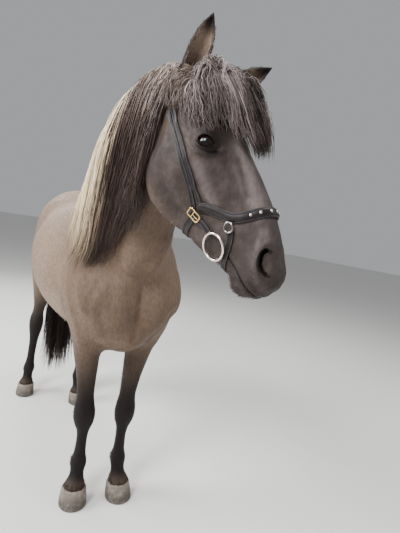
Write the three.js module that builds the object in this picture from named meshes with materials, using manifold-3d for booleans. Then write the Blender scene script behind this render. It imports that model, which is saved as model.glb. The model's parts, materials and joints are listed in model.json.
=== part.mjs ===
// Icelandic horse, life size and standing, with its neck raised and its head turned a little to its left.
// It wears a leather bridle. Millimetres: +X is the horse's left, -Y the way it faces, +Z up, hooves on Z = 0.
import * as THREE from "three";
import { mergeVertices } from "three/addons/utils/BufferGeometryUtils.js";
import Module from "manifold-3d";

const wasm = await Module();
wasm.setup();

// Driving sizes.
const GAP = 0.35; // left between nodes that touch
const HEAD_LENGTH = 530; // poll to upper lip
const POLL = new THREE.Vector3(-98, -1090, 1579); // top of the skull between the ears
const HEAD_TURN = 26.6; // degrees to the horse's left
const HEAD_SLOPE = 49; // degrees of the face below level
const HEAD_TILT = 1.7; // degrees about the head's length
const EYE_RADIUS = 21;
const HOOF_HEIGHT = 66;
const SEED = 7;

const rad = THREE.MathUtils.degToRad;
const V = (x, y, z) => new THREE.Vector3(x, y, z);

// A seeded random number from 0 to 1.
let draw = SEED;
function random() {
  draw = (draw * 16807) % 2147483647;
  return draw / 2147483647;
}
const vary = (size, share) => size * (1 + share * (2 * random() - 1));
const mix = (a, b, t) => a + (b - a) * t;
const smooth = (t) => {
  const x = Math.min(1, Math.max(0, t));
  return x * x * (3 - 2 * x);
};

// The value of one column of a table at a place along it, by a monotone cubic through its rows.
function column(rows, key, at) {
  const value = (i) => rows[i][key] ?? (key.startsWith("n") ? 2 : 0);
  const slope = (i) => (value(i + 1) - value(i)) / (rows[i + 1].at - rows[i].at);
  const tangent = (i) => {
    if (i === 0) return slope(0);
    if (i === rows.length - 1) return slope(i - 1);
    const [a, b] = [slope(i - 1), slope(i)];
    return a * b <= 0 ? 0 : (2 * a * b) / (a + b);
  };
  if (at <= rows[0].at) return value(0);
  if (at >= rows[rows.length - 1].at) return value(rows.length - 1);
  const i = rows.findIndex((row) => row.at > at) - 1;
  const span = rows[i + 1].at - rows[i].at;
  const t = (at - rows[i].at) / span;
  return (
    value(i) * (1 + 2 * t) * (1 - t) ** 2 +
    value(i + 1) * t * t * (3 - 2 * t) +
    span * tangent(i) * t * (1 - t) ** 2 -
    span * tangent(i + 1) * t * t * (1 - t)
  );
}

// Meshes and solids.
function geometryOf(points, faces) {
  const g = new THREE.BufferGeometry();
  g.setAttribute("position", new THREE.Float32BufferAttribute(points.flatMap((p) => p.toArray()), 3));
  g.setIndex(faces.flat());
  return g;
}

function solidOf(geometry) {
  const bare = geometry.clone();
  bare.deleteAttribute("normal");
  bare.deleteAttribute("uv");
  const merged = mergeVertices(bare, 1e-3);
  const triVerts = new Uint32Array(merged.index.array);
  const made = (tris) =>
    new wasm.Manifold(
      new wasm.Mesh({ numProp: 3, vertProperties: new Float32Array(merged.attributes.position.array), triVerts: tris }),
    );
  const solid = made(triVerts);
  if (solid.volume() > 0) return solid;
  for (let i = 0; i < triVerts.length; i += 3) {
    [triVerts[i + 1], triVerts[i + 2]] = [triVerts[i + 2], triVerts[i + 1]];
  }
  return made(triVerts);
}

function geometryOfSolid(solid) {
  const mesh = solid.getMesh();
  const g = new THREE.BufferGeometry();
  g.setAttribute("position", new THREE.BufferAttribute(new Float32Array(mesh.vertProperties), 3));
  g.setIndex(new THREE.BufferAttribute(new Uint32Array(mesh.triVerts), 1));
  return g;
}

const joined = (solids) => solids.reduce((a, b) => a.add(b));

// The solid inside the largest closed surface alone: loose scraps go and sealed hollows are filled.
const largest = (solid) => solid.decompose().sort((a, b) => b.volume() - a.volume())[0];

// The same with points that fall together merged, until one closed surface is left.
function settled(solid) {
  let shape = largest(solid);
  for (;;) {
    const merged = solidOf(geometryOfSolid(shape));
    shape = largest(merged);
    if (merged.decompose().length === 1) return shape;
  }
}

// The same closed mesh with every point moved out by `by` along its normal.
function swollen(geometry, by) {
  const g = geometry.clone();
  g.computeVertexNormals();
  const [p, n] = [g.attributes.position, g.attributes.normal];
  for (let i = 0; i < p.count; i++) {
    p.setXYZ(i, p.getX(i) + by * n.getX(i), p.getY(i) + by * n.getY(i), p.getZ(i) + by * n.getZ(i));
  }
  return g;
}

// Closes rings of points into one tube with a fan on each end.
function tube(rings) {
  const sides = rings[0].length;
  const points = rings.flat();
  const faces = [];
  for (let r = 0; r + 1 < rings.length; r++) {
    for (let k = 0; k < sides; k++) {
      const [a, b] = [r * sides + k, r * sides + ((k + 1) % sides)];
      faces.push([a, b, b + sides], [a, b + sides, a + sides]);
    }
  }
  for (const [r, flip] of [[0, true], [rings.length - 1, false]]) {
    const centre = rings[r].reduce((sum, p) => sum.add(p), V(0, 0, 0)).divideScalar(sides);
    points.push(centre);
    for (let k = 0; k < sides; k++) {
      const [a, b] = [r * sides + k, r * sides + ((k + 1) % sides)];
      faces.push(flip ? [points.length - 1, b, a] : [points.length - 1, a, b]);
    }
  }
  return outward(geometryOf(points, faces));
}

// Turns a closed mesh's faces outwards.
function outward(geometry) {
  const [p, index] = [geometry.attributes.position, geometry.index];
  const corner = (i) => V().fromBufferAttribute(p, index.getX(i));
  let volume = 0;
  for (let i = 0; i < index.count; i += 3) volume += corner(i).dot(corner(i + 1).cross(corner(i + 2)));
  if (volume < 0) {
    for (let i = 0; i < index.count; i += 3) {
      const [b, c] = [index.getX(i + 1), index.getX(i + 2)];
      index.setX(i + 1, c);
      index.setX(i + 2, b);
    }
  }
  return geometry;
}

// A body form: each row gives a section's centre (x, y, z), its half width w, its reach u towards `up` and d
// away from it, and the squareness of its two halves, nu and nd, where 2 is an ellipse.
function form({ rows, stops, sides, frame, swells = [], bend = (p) => p }) {
  const rings = stops.map((at) => {
    const centre = (s) => V(column(rows, "x", s), column(rows, "y", s), column(rows, "z", s));
    const { side, up } = frame(centre, at);
    const [w, u, d] = ["w", "u", "d"].map((key) => column(rows, key, at));
    const [nu, nd] = ["nu", "nd"].map((key) => column(rows, key, at));
    return Array.from({ length: sides }, (_, k) => {
      const angle = (2 * Math.PI * (k + 0.5)) / sides;
      const [c, s] = [Math.cos(angle), Math.sin(angle)];
      const n = s >= 0 ? nu : nd;
      const across = w * Math.sign(c) * Math.abs(c) ** (2 / n);
      const along = (s >= 0 ? u : d) * Math.sign(s) * Math.abs(s) ** (2 / n);
      return centre(at).addScaledVector(side, across).addScaledVector(up, along);
    });
  });
  for (const p of rings.flat()) {
    const rest = p.clone();
    for (const swell of swells) {
      const share = Math.exp(-rest.distanceToSquared(swell.at) / swell.reach ** 2);
      p.addScaledVector(swell.push, share);
    }
    p.copy(bend(p));
  }
  return tube(rings);
}

// The same swelling on both sides.
const pair = (x, y, z, reach, px, py, pz) => [
  { at: V(x, y, z), reach, push: V(px, py, pz) },
  { at: V(-x, y, z), reach, push: V(-px, py, pz) },
];

const evenly = (from, to, count) => Array.from({ length: count }, (_, i) => mix(from, to, i / (count - 1)));

const ACROSS = V(1, 0, 0);
const FORWARD = V(0, -1, 0);
const UP = V(0, 0, 1);

// Sections square to the curve that the centres follow.
function squareFrame(towards) {
  return (centre, at) => {
    const along = centre(at + 1).sub(centre(at - 1)).normalize();
    const up = towards.clone().addScaledVector(along, -towards.dot(along)).normalize();
    return { side: up.clone().cross(along).normalize(), up };
  };
}

// Torso: at is the distance back from the middle.
const torsoRows = [
  { at: -676, z: 895, w: 14, u: 16, d: 16 },
  { at: -664, z: 898, w: 84, u: 84, d: 66 },
  { at: -640, z: 902, w: 138, u: 142, d: 122 },
  { at: -600, z: 910, w: 174, u: 185, d: 178, nu: 2, nd: 2.1 },
  { at: -540, z: 935, w: 202, u: 262, d: 242, nu: 1.9, nd: 2.2 },
  { at: -470, z: 958, w: 220, u: 345, d: 276, nu: 1.75, nd: 2.2 },
  { at: -390, z: 972, w: 232, u: 396, d: 296, nu: 1.65, nd: 2.1 },
  { at: -290, z: 980, w: 252, u: 382, d: 310, nu: 1.75, nd: 2.1 },
  { at: -160, z: 985, w: 278, u: 322, d: 318, nu: 2.05, nd: 2.2 },
  { at: -20, z: 985, w: 294, u: 292, d: 320, nu: 2.2, nd: 2.2 },
  { at: 110, z: 990, w: 297, u: 288, d: 306, nu: 2.2, nd: 2.2 },
  { at: 230, z: 1010, w: 286, u: 300, d: 284, nu: 2.1, nd: 2.1 },
  { at: 350, z: 1036, w: 266, u: 306, d: 246 },
  { at: 460, z: 1056, w: 250, u: 290, d: 212, nu: 2.1 },
  { at: 560, z: 1072, w: 226, u: 248, d: 182, nu: 2.1 },
  { at: 640, z: 1082, w: 186, u: 180, d: 148 },
  { at: 695, z: 1084, w: 128, u: 108, d: 108 },
  { at: 724, z: 1082, w: 66, u: 52, d: 60 },
  { at: 734, z: 1082, w: 12, u: 10, d: 12 },
].map((row) => ({ ...row, y: row.at }));

const torsoSwells = [
  ...pair(186, -620, 925, 70, 16, -20, 0), // point of the shoulder
  ...pair(215, -520, 1060, 120, 10, -6, 0), // shoulder blade
  ...pair(222, -425, 930, 95, 16, 0, 0), // triceps
  ...pair(238, -315, 930, 60, -12, 0, 0), // behind the elbow
  ...pair(205, 250, 1238, 48, 12, 0, 8), // point of the hip
  ...pair(262, 205, 1150, 85, -14, 0, 0), // flank
  ...pair(120, 640, 1130, 80, 10, 12, 0), // buttock
  ...pair(72, -655, 870, 68, 0, -16, 0), // breast muscles
  { at: V(0, -670, 870), reach: 34, push: V(0, 16, 0) }, // breast groove
  { at: V(0, 440, 1345), reach: 60, push: V(0, 0, -5) }, // croup groove
];

const torsoForm = form({
  rows: torsoRows,
  stops: [-676, -662, -638, -600, -548, -485, -415, -340, -250, -140, -20, 100, 200, 285, 365, 450, 530, 600, 655, 700,
    724, 734],
  sides: 22,
  frame: () => ({ side: ACROSS, up: UP }),
  swells: torsoSwells,
});

// Neck: at runs from inside the chest to inside the back of the head.
const neckRows = [
  { at: 0, x: 0, y: -400, z: 1090, w: 120, u: 190, d: 190 },
  { at: 20, x: 0, y: -500, z: 1156, w: 142, u: 240, d: 232, nu: 1.8 },
  { at: 40, x: -18, y: -618, z: 1256, w: 124, u: 236, d: 218, nu: 1.7 },
  { at: 60, x: -46, y: -728, z: 1362, w: 104, u: 222, d: 194, nu: 1.65 },
  { at: 80, x: -80, y: -832, z: 1458, w: 90, u: 196, d: 178, nu: 1.65 },
  { at: 100, x: -106, y: -938, z: 1518, w: 80, u: 148, d: 152, nu: 1.75 },
  { at: 116, x: -120, y: -1018, z: 1534, w: 62, u: 88, d: 106 },
  { at: 124, x: -124, y: -1050, z: 1536, w: 30, u: 40, d: 52 },
];

const neckForm = form({
  rows: neckRows,
  stops: [0, 18, 32, 46, 60, 72, 84, 96, 107, 117, 124],
  sides: 22,
  frame: squareFrame(UP),
  swells: [
    { at: V(88, -700, 1200), reach: 60, push: V(-10, 0, 0) }, // jugular groove
    { at: V(-122, -700, 1200), reach: 60, push: V(10, 0, 0) },
    { at: V(-20, -640, 1560), reach: 130, push: V(-34, 0, 0) }, // crest, leaning under the mane
    { at: V(-75, -820, 1640), reach: 90, push: V(-22, 0, 0) },
  ],
});

// Head: at is the distance down the face from the poll; z is out through the forehead, x to the left.
const headMatrix = new THREE.Matrix4()
  .makeTranslation(POLL.x, POLL.y, POLL.z)
  .multiply(new THREE.Matrix4().makeRotationZ(rad(HEAD_TURN)))
  .multiply(
    new THREE.Matrix4().makeBasis(
      V(1, 0, 0),
      V(0, -Math.cos(rad(HEAD_SLOPE)), -Math.sin(rad(HEAD_SLOPE))),
      V(0, -Math.sin(rad(HEAD_SLOPE)), Math.cos(rad(HEAD_SLOPE))),
    ),
  )
  .multiply(new THREE.Matrix4().makeRotationY(rad(HEAD_TILT)));
// A place on the head: across to the left, down the face, and out through the forehead.
const onHead = (x, y, z) => V(x, y, z).applyMatrix4(headMatrix);
const headWay = (x, y, z) => V(x, y, z).transformDirection(headMatrix);

const headRows = [
  { at: -40, z: -66, w: 26, u: 22, d: 34 },
  { at: -27, z: -64, w: 50, u: 47, d: 65 },
  { at: -7, z: -62, w: 66, u: 65, d: 98, nu: 2.2 },
  { at: 24, z: -62, w: 77, u: 75, d: 137, nu: 2.4, nd: 2.1 },
  { at: 60, z: -66, w: 84, u: 80, d: 169, nu: 2.6, nd: 2.1 },
  { at: 102, z: -70, w: 89, u: 84, d: 184, nu: 2.8, nd: 2.1 },
  { at: 141, z: -68, w: 93, u: 80, d: 199, nu: 2.8, nd: 2.2 },
  { at: 179, z: -67, w: 94, u: 76, d: 208, nu: 2.7, nd: 2.2 },
  { at: 218, z: -72, w: 87, u: 76, d: 202, nu: 2.5, nd: 2.1 },
  { at: 257, z: -79, w: 76, u: 79, d: 174, nu: 2.4 },
  { at: 301, z: -84, w: 66, u: 81, d: 142, nu: 2.3 },
  { at: 344, z: -88, w: 59, u: 82, d: 125, nu: 2.2 },
  { at: 385, z: -92, w: 55, u: 79, d: 106, nu: 2.2 },
  { at: 421, z: -94, w: 53, u: 72, d: 88, nu: 2.2, nd: 2.1 },
  { at: 452, z: -94, w: 55, u: 60, d: 79, nu: 2.3, nd: 2.2 },
  { at: 479, z: -96, w: 57, u: 49, d: 80, nu: 2.4, nd: 2.3 },
  { at: 502, z: -100, w: 54, u: 42, d: 68, nu: 2.4, nd: 2.3 },
  { at: 518, z: -104, w: 43, u: 33, d: 46, nu: 2.2, nd: 2.2 },
  { at: 527, z: -107, w: 29, u: 24, d: 27 },
  { at: HEAD_LENGTH, z: -107, w: 11, u: 9, d: 12 },
].map((row) => ({ ...row, y: row.at }));

const headSwells = [
  ...pair(86, 174, -34, 30, 13, 0, 5), // rim of the orbit
  ...pair(92, 200, -74, 24, 6, 0, 0), // under the eye
  ...pair(68, 112, -10, 26, -7, 0, -8), // hollow above the eye
  ...pair(82, 130, -180, 62, 6, 0, 0), // cheek muscle
  ...pair(70, 250, -96, 38, 6, 0, 0), // facial crest
  ...pair(60, 320, -118, 40, -5, 0, 0), // hollow before the cheek
  ...pair(54, 470, -84, 26, 7, 0, 2), // nostril
  ...pair(48, 424, -78, 24, -3, 0, 0), // behind the nostril
  { at: V(0, 285, -2), reach: 46, push: V(0, 0, 3) }, // bridge of the nose
  { at: V(0, 492, -176), reach: 24, push: V(0, 0, -6) }, // chin
  { at: V(0, 436, -182), reach: 24, push: V(0, 0, 6) }, // chin groove
  { at: V(0, 215, -262), reach: 46, push: V(0, 0, 14) }, // space between the jaws
];

const headForm = (stops, sides) =>
  form({
    rows: headRows,
    stops,
    sides,
    frame: () => ({ side: ACROSS, up: UP }),
    swells: headSwells,
    bend: (p) => onHead(p.x, p.y, p.z),
  });
const headStops = [-40, -26, -6, 24, 56, 88, 116, 142, 166, 190, 214, 242, 272, 306, 342, 376, 406, 432, 452, 470, 488,
  503, 515, 524, HEAD_LENGTH];

// Legs: at is the height. Each leg's own rows then say where its axis stands at each height.
const foreRows = [
  { at: 62, y: -26, w: 49, u: 45, d: 46 },
  { at: 76, y: -23, w: 46, u: 41, d: 43 },
  { at: 98, y: -14, w: 33, u: 31, d: 34 },
  { at: 120, y: -5, w: 31, u: 29, d: 34 },
  { at: 142, y: 0, w: 36, u: 34, d: 42 },
  { at: 158, y: 0, w: 37, u: 35, d: 44 },
  { at: 182, y: 0, w: 30, u: 29, d: 37 },
  { at: 215, y: 0, w: 25, u: 24, d: 33 },
  { at: 265, y: 0, w: 24, u: 24, d: 32 },
  { at: 312, y: 0, w: 28, u: 28, d: 33 },
  { at: 342, y: 0, w: 40, u: 37, d: 37 },
  { at: 372, y: 0, w: 47, u: 44, d: 43 },
  { at: 402, y: 0, w: 48, u: 46, d: 43 },
  { at: 432, y: 0, w: 42, u: 40, d: 40 },
  { at: 470, y: 0, w: 37, u: 37, d: 39 },
  { at: 540, y: 0, w: 41, u: 44, d: 46 },
  { at: 620, y: 0, w: 51, u: 58, d: 60 },
  { at: 700, y: 0, w: 63, u: 80, d: 90 },
  { at: 780, y: 0, w: 78, u: 104, d: 120 },
  { at: 860, y: -6, w: 84, u: 122, d: 136 },
  { at: 940, y: -14, w: 66, u: 106, d: 118 },
  { at: 990, y: -18, w: 22, u: 40, d: 44 },
];

const hindRows = [
  { at: 62, y: -24, w: 46, u: 43, d: 44 },
  { at: 76, y: -21, w: 43, u: 39, d: 41 },
  { at: 100, y: -12, w: 31, u: 30, d: 33 },
  { at: 122, y: -3, w: 30, u: 28, d: 34 },
  { at: 146, y: 2, w: 35, u: 34, d: 41 },
  { at: 162, y: 3, w: 36, u: 35, d: 43 },
  { at: 190, y: 4, w: 29, u: 29, d: 35 },
  { at: 240, y: 6, w: 25, u: 26, d: 33 },
  { at: 320, y: 8, w: 26, u: 28, d: 35 },
  { at: 380, y: 8, w: 32, u: 35, d: 39 },
  { at: 425, y: 10, w: 41, u: 46, d: 48 },
  { at: 465, y: 14, w: 44, u: 52, d: 58 },
  { at: 500, y: 18, w: 40, u: 52, d: 68 },
  { at: 530, y: 10, w: 34, u: 48, d: 66 },
  { at: 575, y: -8, w: 36, u: 50, d: 54 },
  { at: 635, y: -32, w: 47, u: 66, d: 66 },
  { at: 705, y: -56, w: 62, u: 90, d: 92 },
  { at: 780, y: -74, w: 80, u: 118, d: 124 },
  { at: 860, y: -80, w: 96, u: 146, d: 156 },
  { at: 950, y: -74, w: 106, u: 162, d: 176 },
  { at: 1040, y: -62, w: 104, u: 160, d: 170 },
  { at: 1120, y: -55, w: 78, u: 130, d: 136 },
  { at: 1180, y: -50, w: 26, u: 50, d: 50 },
];

// Where each leg stands: x and y of its axis at heights from the ground to inside the trunk.
const ARM = [{ at: V(196, -470, 800), reach: 90, push: V(24, 0, 0) }]; // the loaded leg's upper arm
const LEGS = {
  fore_right: { rows: foreRows, axis: [[0, -104, -438], [150, -72, -422], [385, -84, -450], [700, -112, -446], [850, -130, -446], [1000, -132, -446]] },
  fore_left: { rows: foreRows, swells: ARM, axis: [[0, 104, -454], [150, 99, -438], [385, 88, -460], [700, 112, -452], [850, 130, -448], [1000, 132, -446]] },
  hind_right: { rows: hindRows, axis: [[0, -186, 622], [155, -166, 628], [490, -154, 622], [780, -146, 612], [950, -140, 608], [1200, -138, 606]] },
  hind_left: { rows: hindRows, axis: [[0, 112, 446], [155, 112, 452], [490, 124, 508], [780, 138, 560], [950, 140, 596], [1200, 138, 606]] },
};
const axisOf = (leg) => leg.axis.map(([at, x, y]) => ({ at, x, y }));

function legForm(leg) {
  const axis = axisOf(leg);
  const rows = leg.rows.map((row) => ({
    ...row,
    x: column(axis, "x", row.at),
    y: column(axis, "y", row.at) + row.y,
    z: row.at,
  }));
  const heights = leg.rows.map((row) => row.at);
  return form({ rows, stops: heights, sides: 12, frame: () => ({ side: ACROSS, up: FORWARD }), swells: leg.swells });
}

// A hoof: a cone cut flat at the ground, long at the toe, turned out by `turn` degrees.
function hoofForm(leg, front) {
  const axis = axisOf(leg);
  const turn = rad(Math.sign(leg.axis[0][1]) * (front ? 9 : 12));
  const [x, y] = [column(axis, "x", HOOF_HEIGHT), column(axis, "y", HOOF_HEIGHT) + (front ? -26 : -24)];
  const rows = [
    { at: 0, y: -20, w: front ? 58 : 54, u: front ? 58 : 58, d: 44, nu: 2, nd: 2.6 },
    { at: 34, y: -9, w: front ? 54 : 50, u: 53, d: 44, nu: 2, nd: 2.5 },
    { at: 58, y: -1, w: front ? 50.5 : 47, u: 47, d: 45, nu: 2, nd: 2.2 },
    { at: HOOF_HEIGHT, y: 0, w: front ? 47 : 44, u: front ? 43 : 41, d: 43 },
  ];
  return form({
    rows: rows.map((row) => ({ ...row, x: 0, z: row.at })),
    stops: [0, 52, HOOF_HEIGHT],
    sides: 20,
    frame: () => ({ side: ACROSS, up: FORWARD }),
    bend: (p) => V(p.x, p.y, p.z).applyAxisAngle(UP, turn).add(V(x, y, 0)),
  });
}

// Surfaces that straps and hair lie on.
class Surface {
  constructor(geometry) {
    const g = mergeVertices(geometry, 1e-3);
    g.computeVertexNormals();
    this.corners = g.index.array;
    this.points = Array.from({ length: g.attributes.position.count }, (_, i) => V().fromBufferAttribute(g.attributes.position, i));
    this.normals = Array.from({ length: this.points.length }, (_, i) => V().fromBufferAttribute(g.attributes.normal, i));
    this.faces = [];
    for (let i = 0; i < this.corners.length; i += 3) {
      const ids = [this.corners[i], this.corners[i + 1], this.corners[i + 2]];
      const triangle = new THREE.Triangle(...ids.map((id) => this.points[id]));
      const centre = triangle.getMidpoint(V());
      const reach = Math.max(...ids.map((id) => centre.distanceTo(this.points[id])));
      this.faces.push({ ids, triangle, centre, reach });
    }
  }

  // The nearest place on the surface and the way out of it there.
  closest(p) {
    let best = Infinity;
    let found = null;
    const on = V();
    for (const face of this.faces) {
      if (p.distanceTo(face.centre) - face.reach > best) continue;
      face.triangle.closestPointToPoint(p, on);
      const away = p.distanceTo(on);
      if (away < best) {
        best = away;
        found = { face, point: on.clone() };
      }
    }
    const share = found.face.triangle.getBarycoord(found.point, V());
    const normal = V();
    found.face.ids.forEach((id, i) => normal.addScaledVector(this.normals[id], share.getComponent(i)));
    return { point: found.point, normal: normal.normalize() };
  }
}

const bodyForms = { torso: torsoForm, neck: neckForm, head: headForm(headStops, 24) };
for (const [name, leg] of Object.entries(LEGS)) bodyForms[name] = legForm(leg);
const solid = Object.fromEntries(Object.entries(bodyForms).map(([name, g]) => [name, solidOf(g)]));
const clearOf = (...names) => joined(names.map((name) => solidOf(swollen(bodyForms[name], GAP))));
const wholeBody = joined(Object.values(solid));
const skin = new Surface(geometryOfSolid(wholeBody));

// Ears: a cup open to one side. at is the distance up the ear from its root.
const EAR_LENGTH = 166;
const earRows = [
  { at: -16, w: 19, u: 17, d: 18 },
  { at: 8, w: 21, u: 17, d: 20 },
  { at: 36, w: 26, u: 14, d: 21 },
  { at: 68, w: 28, u: 11, d: 19 },
  { at: 102, w: 24, u: 8, d: 15 },
  { at: 132, w: 16, u: 5, d: 10 },
  { at: 154, w: 7, u: 3, d: 5 },
  { at: EAR_LENGTH, w: 1.2, u: 1, d: 1 },
];
const EAR_WALL = 4.5;

function earForms(root, along, open) {
  const up = along.clone().normalize();
  const front = open.clone().addScaledVector(up, -open.dot(up)).normalize();
  const place = new THREE.Matrix4().makeBasis(front.clone().cross(up), front, up).setPosition(root);
  const curl = (p) => V(p.x, p.y + 10 * Math.sin((Math.PI * p.z) / EAR_LENGTH), p.z).applyMatrix4(place);
  const ring = () => ({ side: ACROSS, up: V(0, 1, 0) });
  const outer = earRows.map((row) => ({ ...row, z: row.at }));
  const inner = outer.slice(2, -1).map((row, i) => ({
    ...row,
    w: Math.max(1.5, row.w - EAR_WALL),
    u: row.u + 22,
    d: Math.max(0.5, row.d - EAR_WALL - (i === 0 ? 7 : 0)),
  }));
  return [
    form({ rows: outer, stops: outer.map((row) => row.at), sides: 12, frame: ring, bend: curl }),
    form({ rows: inner, stops: inner.map((row) => row.at), sides: 12, frame: ring, bend: curl }),
  ];
}

const EARS = {
  ear_right: earForms(onHead(-70, 20, -22), V(0.21, -0.1, 0.97), V(-0.1, -1, 0)),
  ear_left: earForms(onHead(46, 14, -8), V(0.73, -0.36, 0.58), V(-0.25, -0.9, -0.3)),
};

// Eyes, their sockets and lids.
const EYE = { x: 80, y: 189, z: -45 };
const LID = 4; // thickness over the eyeball
const LID_SIDES = 12;
const ball = (radius, centre) => {
  const g = new THREE.SphereGeometry(radius, 12, 8);
  return solidOf(g).translate(centre.toArray());
};
function eyeOpening(side) {
  const out = headWay(side * 0.93, 0.22, 0.3);
  const along = headWay(0, 0.72, 0.69);
  along.addScaledVector(out, -along.dot(out)).normalize();
  const across = out.clone().cross(along);
  const centre = onHead(side * EYE.x, EYE.y, EYE.z);
  const slice = (depth, scale) =>
    Array.from({ length: LID_SIDES }, (_, k) => {
      const angle = (2 * Math.PI * k) / LID_SIDES;
      const [c, s] = [Math.cos(angle), Math.sin(angle)];
      return centre
        .clone()
        .addScaledVector(out, depth)
        .addScaledVector(along, 18.5 * scale * c)
        .addScaledVector(across, 12 * scale * Math.sign(s) * Math.abs(s) ** 1.25);
    });
  return solidOf(tube([slice(6, 0.85), slice(45, 1.2)]));
}

// A round tube along a path of places and radii.
function wire(path, radii, sides = 8) {
  const curve = new THREE.CatmullRomCurve3(path);
  const rings = radii.map((radius, i) => {
    const t = i / (radii.length - 1);
    const along = curve.getTangent(t);
    const side = along.clone().cross(Math.abs(along.z) > 0.9 ? ACROSS : UP).normalize();
    const up = side.clone().cross(along);
    return Array.from({ length: sides }, (_, k) => {
      const angle = (2 * Math.PI * k) / sides;
      return curve
        .getPoint(t)
        .addScaledVector(side, radius * Math.cos(angle))
        .addScaledVector(up, radius * Math.sin(angle));
    });
  });
  return solidOf(tube(rings));
}

// A nostril's opening: a comma down the side of the muzzle that runs inwards and back.
function nostril(side) {
  const comma = [[463, -46], [456, -52], [460, -62], [469, -71], [481, -78], [494, -82], [506, -81], [499, -73],
    [488, -66], [478, -59], [471, -50]];
  const slice = (x, back, scale) =>
    comma.map(([y, z]) => onHead(side * x, 480 + (y - 480) * scale - back, -66 + (z + 66) * scale));
  return solidOf(tube([slice(84, -4, 1.06), slice(44, 5, 0.9), slice(24, 18, 0.5)]));
}

// The line between the lips: a thin sheet across the muzzle that reaches a little way in.
function mouthLine() {
  const path = [[394, -137], [420, -138], [455, -134], [500, -134], [560, -128]];
  const half = 1.3;
  const rings = path.map(([y, z]) => [[-90, z - half], [90, z - half], [90, z + half], [-90, z + half]]
    .map(([x, height]) => onHead(x, y, height)));
  const inside = solidOf(swollen(headForm([375, 420, 470, 508], 8), -8));
  return solidOf(tube(rings)).subtract(inside);
}

function carvedHead() {
  let head = solid.head;
  for (const side of [-1, 1]) head = head.add(ball(EYE_RADIUS + LID, onHead(side * EYE.x, EYE.y, EYE.z)));
  for (const side of [-1, 1]) {
    head = head
      .subtract(ball(EYE_RADIUS + GAP, onHead(side * EYE.x, EYE.y, EYE.z)))
      .subtract(eyeOpening(side))
      .subtract(nostril(side));
  }
  return head.subtract(mouthLine());
}

// Straps lie flat on the head along places given in its own frame.
function strap(places, width, thick, { lift = 1.4, count = 16, closed = false, padded = false } = {}) {
  const curve = new THREE.CatmullRomCurve3(places.map(([x, y, z]) => onHead(x, y, z)), closed, "centripetal");
  const stops = closed ? count : count - 1;
  const centres = Array.from({ length: count }, (_, i) => skin.closest(curve.getPointAt(i / stops)));
  const rings = centres.map(({ point, normal }, i) => {
    const before = centres[closed ? (i + count - 1) % count : Math.max(0, i - 1)].point;
    const after = centres[closed ? (i + 1) % count : Math.min(count - 1, i + 1)].point;
    const along = after.clone().sub(before).normalize();
    const across = normal.clone().cross(along).normalize();
    const out = along.clone().cross(across).normalize();
    const half = width / 2;
    const outline = padded
      ? [[-half, 0], [half, 0], [half, thick * 0.45], [half * 0.7, thick], [-half * 0.7, thick], [-half, thick * 0.45]]
      : [[-half, 0], [half, 0], [half, thick], [-half, thick]];
    return outline.map(([u, v]) => point.clone().addScaledVector(across, u).addScaledVector(out, v + lift));
  });
  return solidOf(closed ? hoop(rings) : tube(rings));
}

// Closes rings of points round into a hoop.
function hoop(rings) {
  const sides = rings[0].length;
  const faces = [];
  for (let r = 0; r < rings.length; r++) {
    const next = (r + 1) % rings.length;
    for (let k = 0; k < sides; k++) {
      const [a, b] = [r * sides + k, r * sides + ((k + 1) % sides)];
      const [c, d] = [next * sides + ((k + 1) % sides), next * sides + k];
      faces.push([a, b, c], [a, c, d]);
    }
  }
  return outward(geometryOf(rings.flat(), faces));
}

const mirrored = (places) => places.map(([x, y, z]) => [-x, y, z]);
const onSide = (places, side) => (side < 0 ? places : mirrored(places));
const bothSides = (places) => [...places, ...mirrored(places).reverse()];

// Right-hand halves of the bridle's paths.
const noseHalf = [[-62, 291, -138], [-60, 301, -126], [-58, 318, -112], [-57, 341, -95], [-56, 358, -81],
  [-53, 368, -62], [-41, 376, -34], [-20, 380, -18]];
const jawHalf = [[-60, 291, -150], [-54, 296, -170], [-40, 300, -200], [-14, 303, -228]];
const crownHalf = [[-82, 46, -76], [-77, 24, -69], [-72, 2, -58], [-54, -20, -36], [-26, -30, -16]];
const browHalf = [[-80, 40, -64], [-77, 38, -44], [-70, 40, -22], [-52, 44, 4], [-24, 47, 18]];
const frontHalf = [[-83, 56, -72], [-90, 102, -81], [-95, 155, -91], [-92, 204, -102], [-80, 245, -116], [-68, 273, -127],
  [-64, 284, -133]];
const rearHalf = [[-83, 54, -85], [-89, 100, -94], [-93, 153, -104], [-90, 201, -115], [-77, 242, -130], [-65, 270, -144],
  [-58, 290, -156]];
const lowHalf = [[-57, 306, -157], [-53, 325, -152], [-50, 344, -148]];
const chinHalf = [[-55, 384, -104], [-50, 406, -126], [-36, 427, -158], [-14, 434, -180]];

// Places an upright shape on the head, its face outwards and its length along the strap.
function laid(shape, from, to, lift) {
  const start = skin.closest(onHead(...from));
  const end = skin.closest(onHead(...to));
  const along = end.point.clone().sub(start.point).normalize();
  const out = start.normal.clone().addScaledVector(along, -start.normal.dot(along)).normalize();
  const place = new THREE.Matrix4().makeBasis(along.clone().cross(out), along, out);
  place.setPosition(start.point.clone().addScaledVector(out, lift));
  return solidOf(shape.clone().applyMatrix4(place));
}

const RING = { bit: [31, 3], small: [11, 2.2] };
const ringShape = ([radius, thick]) => new THREE.TorusGeometry(radius, thick, 5, radius > 20 ? 18 : 10);
function buckle(side) {
  const [from, to] = onSide([[-58, 297, -157], [-54, 318, -153]], side);
  const frame = laid(new THREE.BoxGeometry(21, 36, 3.2), from, to, 9);
  const hole = laid(new THREE.BoxGeometry(14, 29, 8), from, to, 9);
  const prong = laid(new THREE.BoxGeometry(2.6, 31, 2.6), from, to, 9.2);
  return frame.subtract(hole).add(prong);
}

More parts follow.
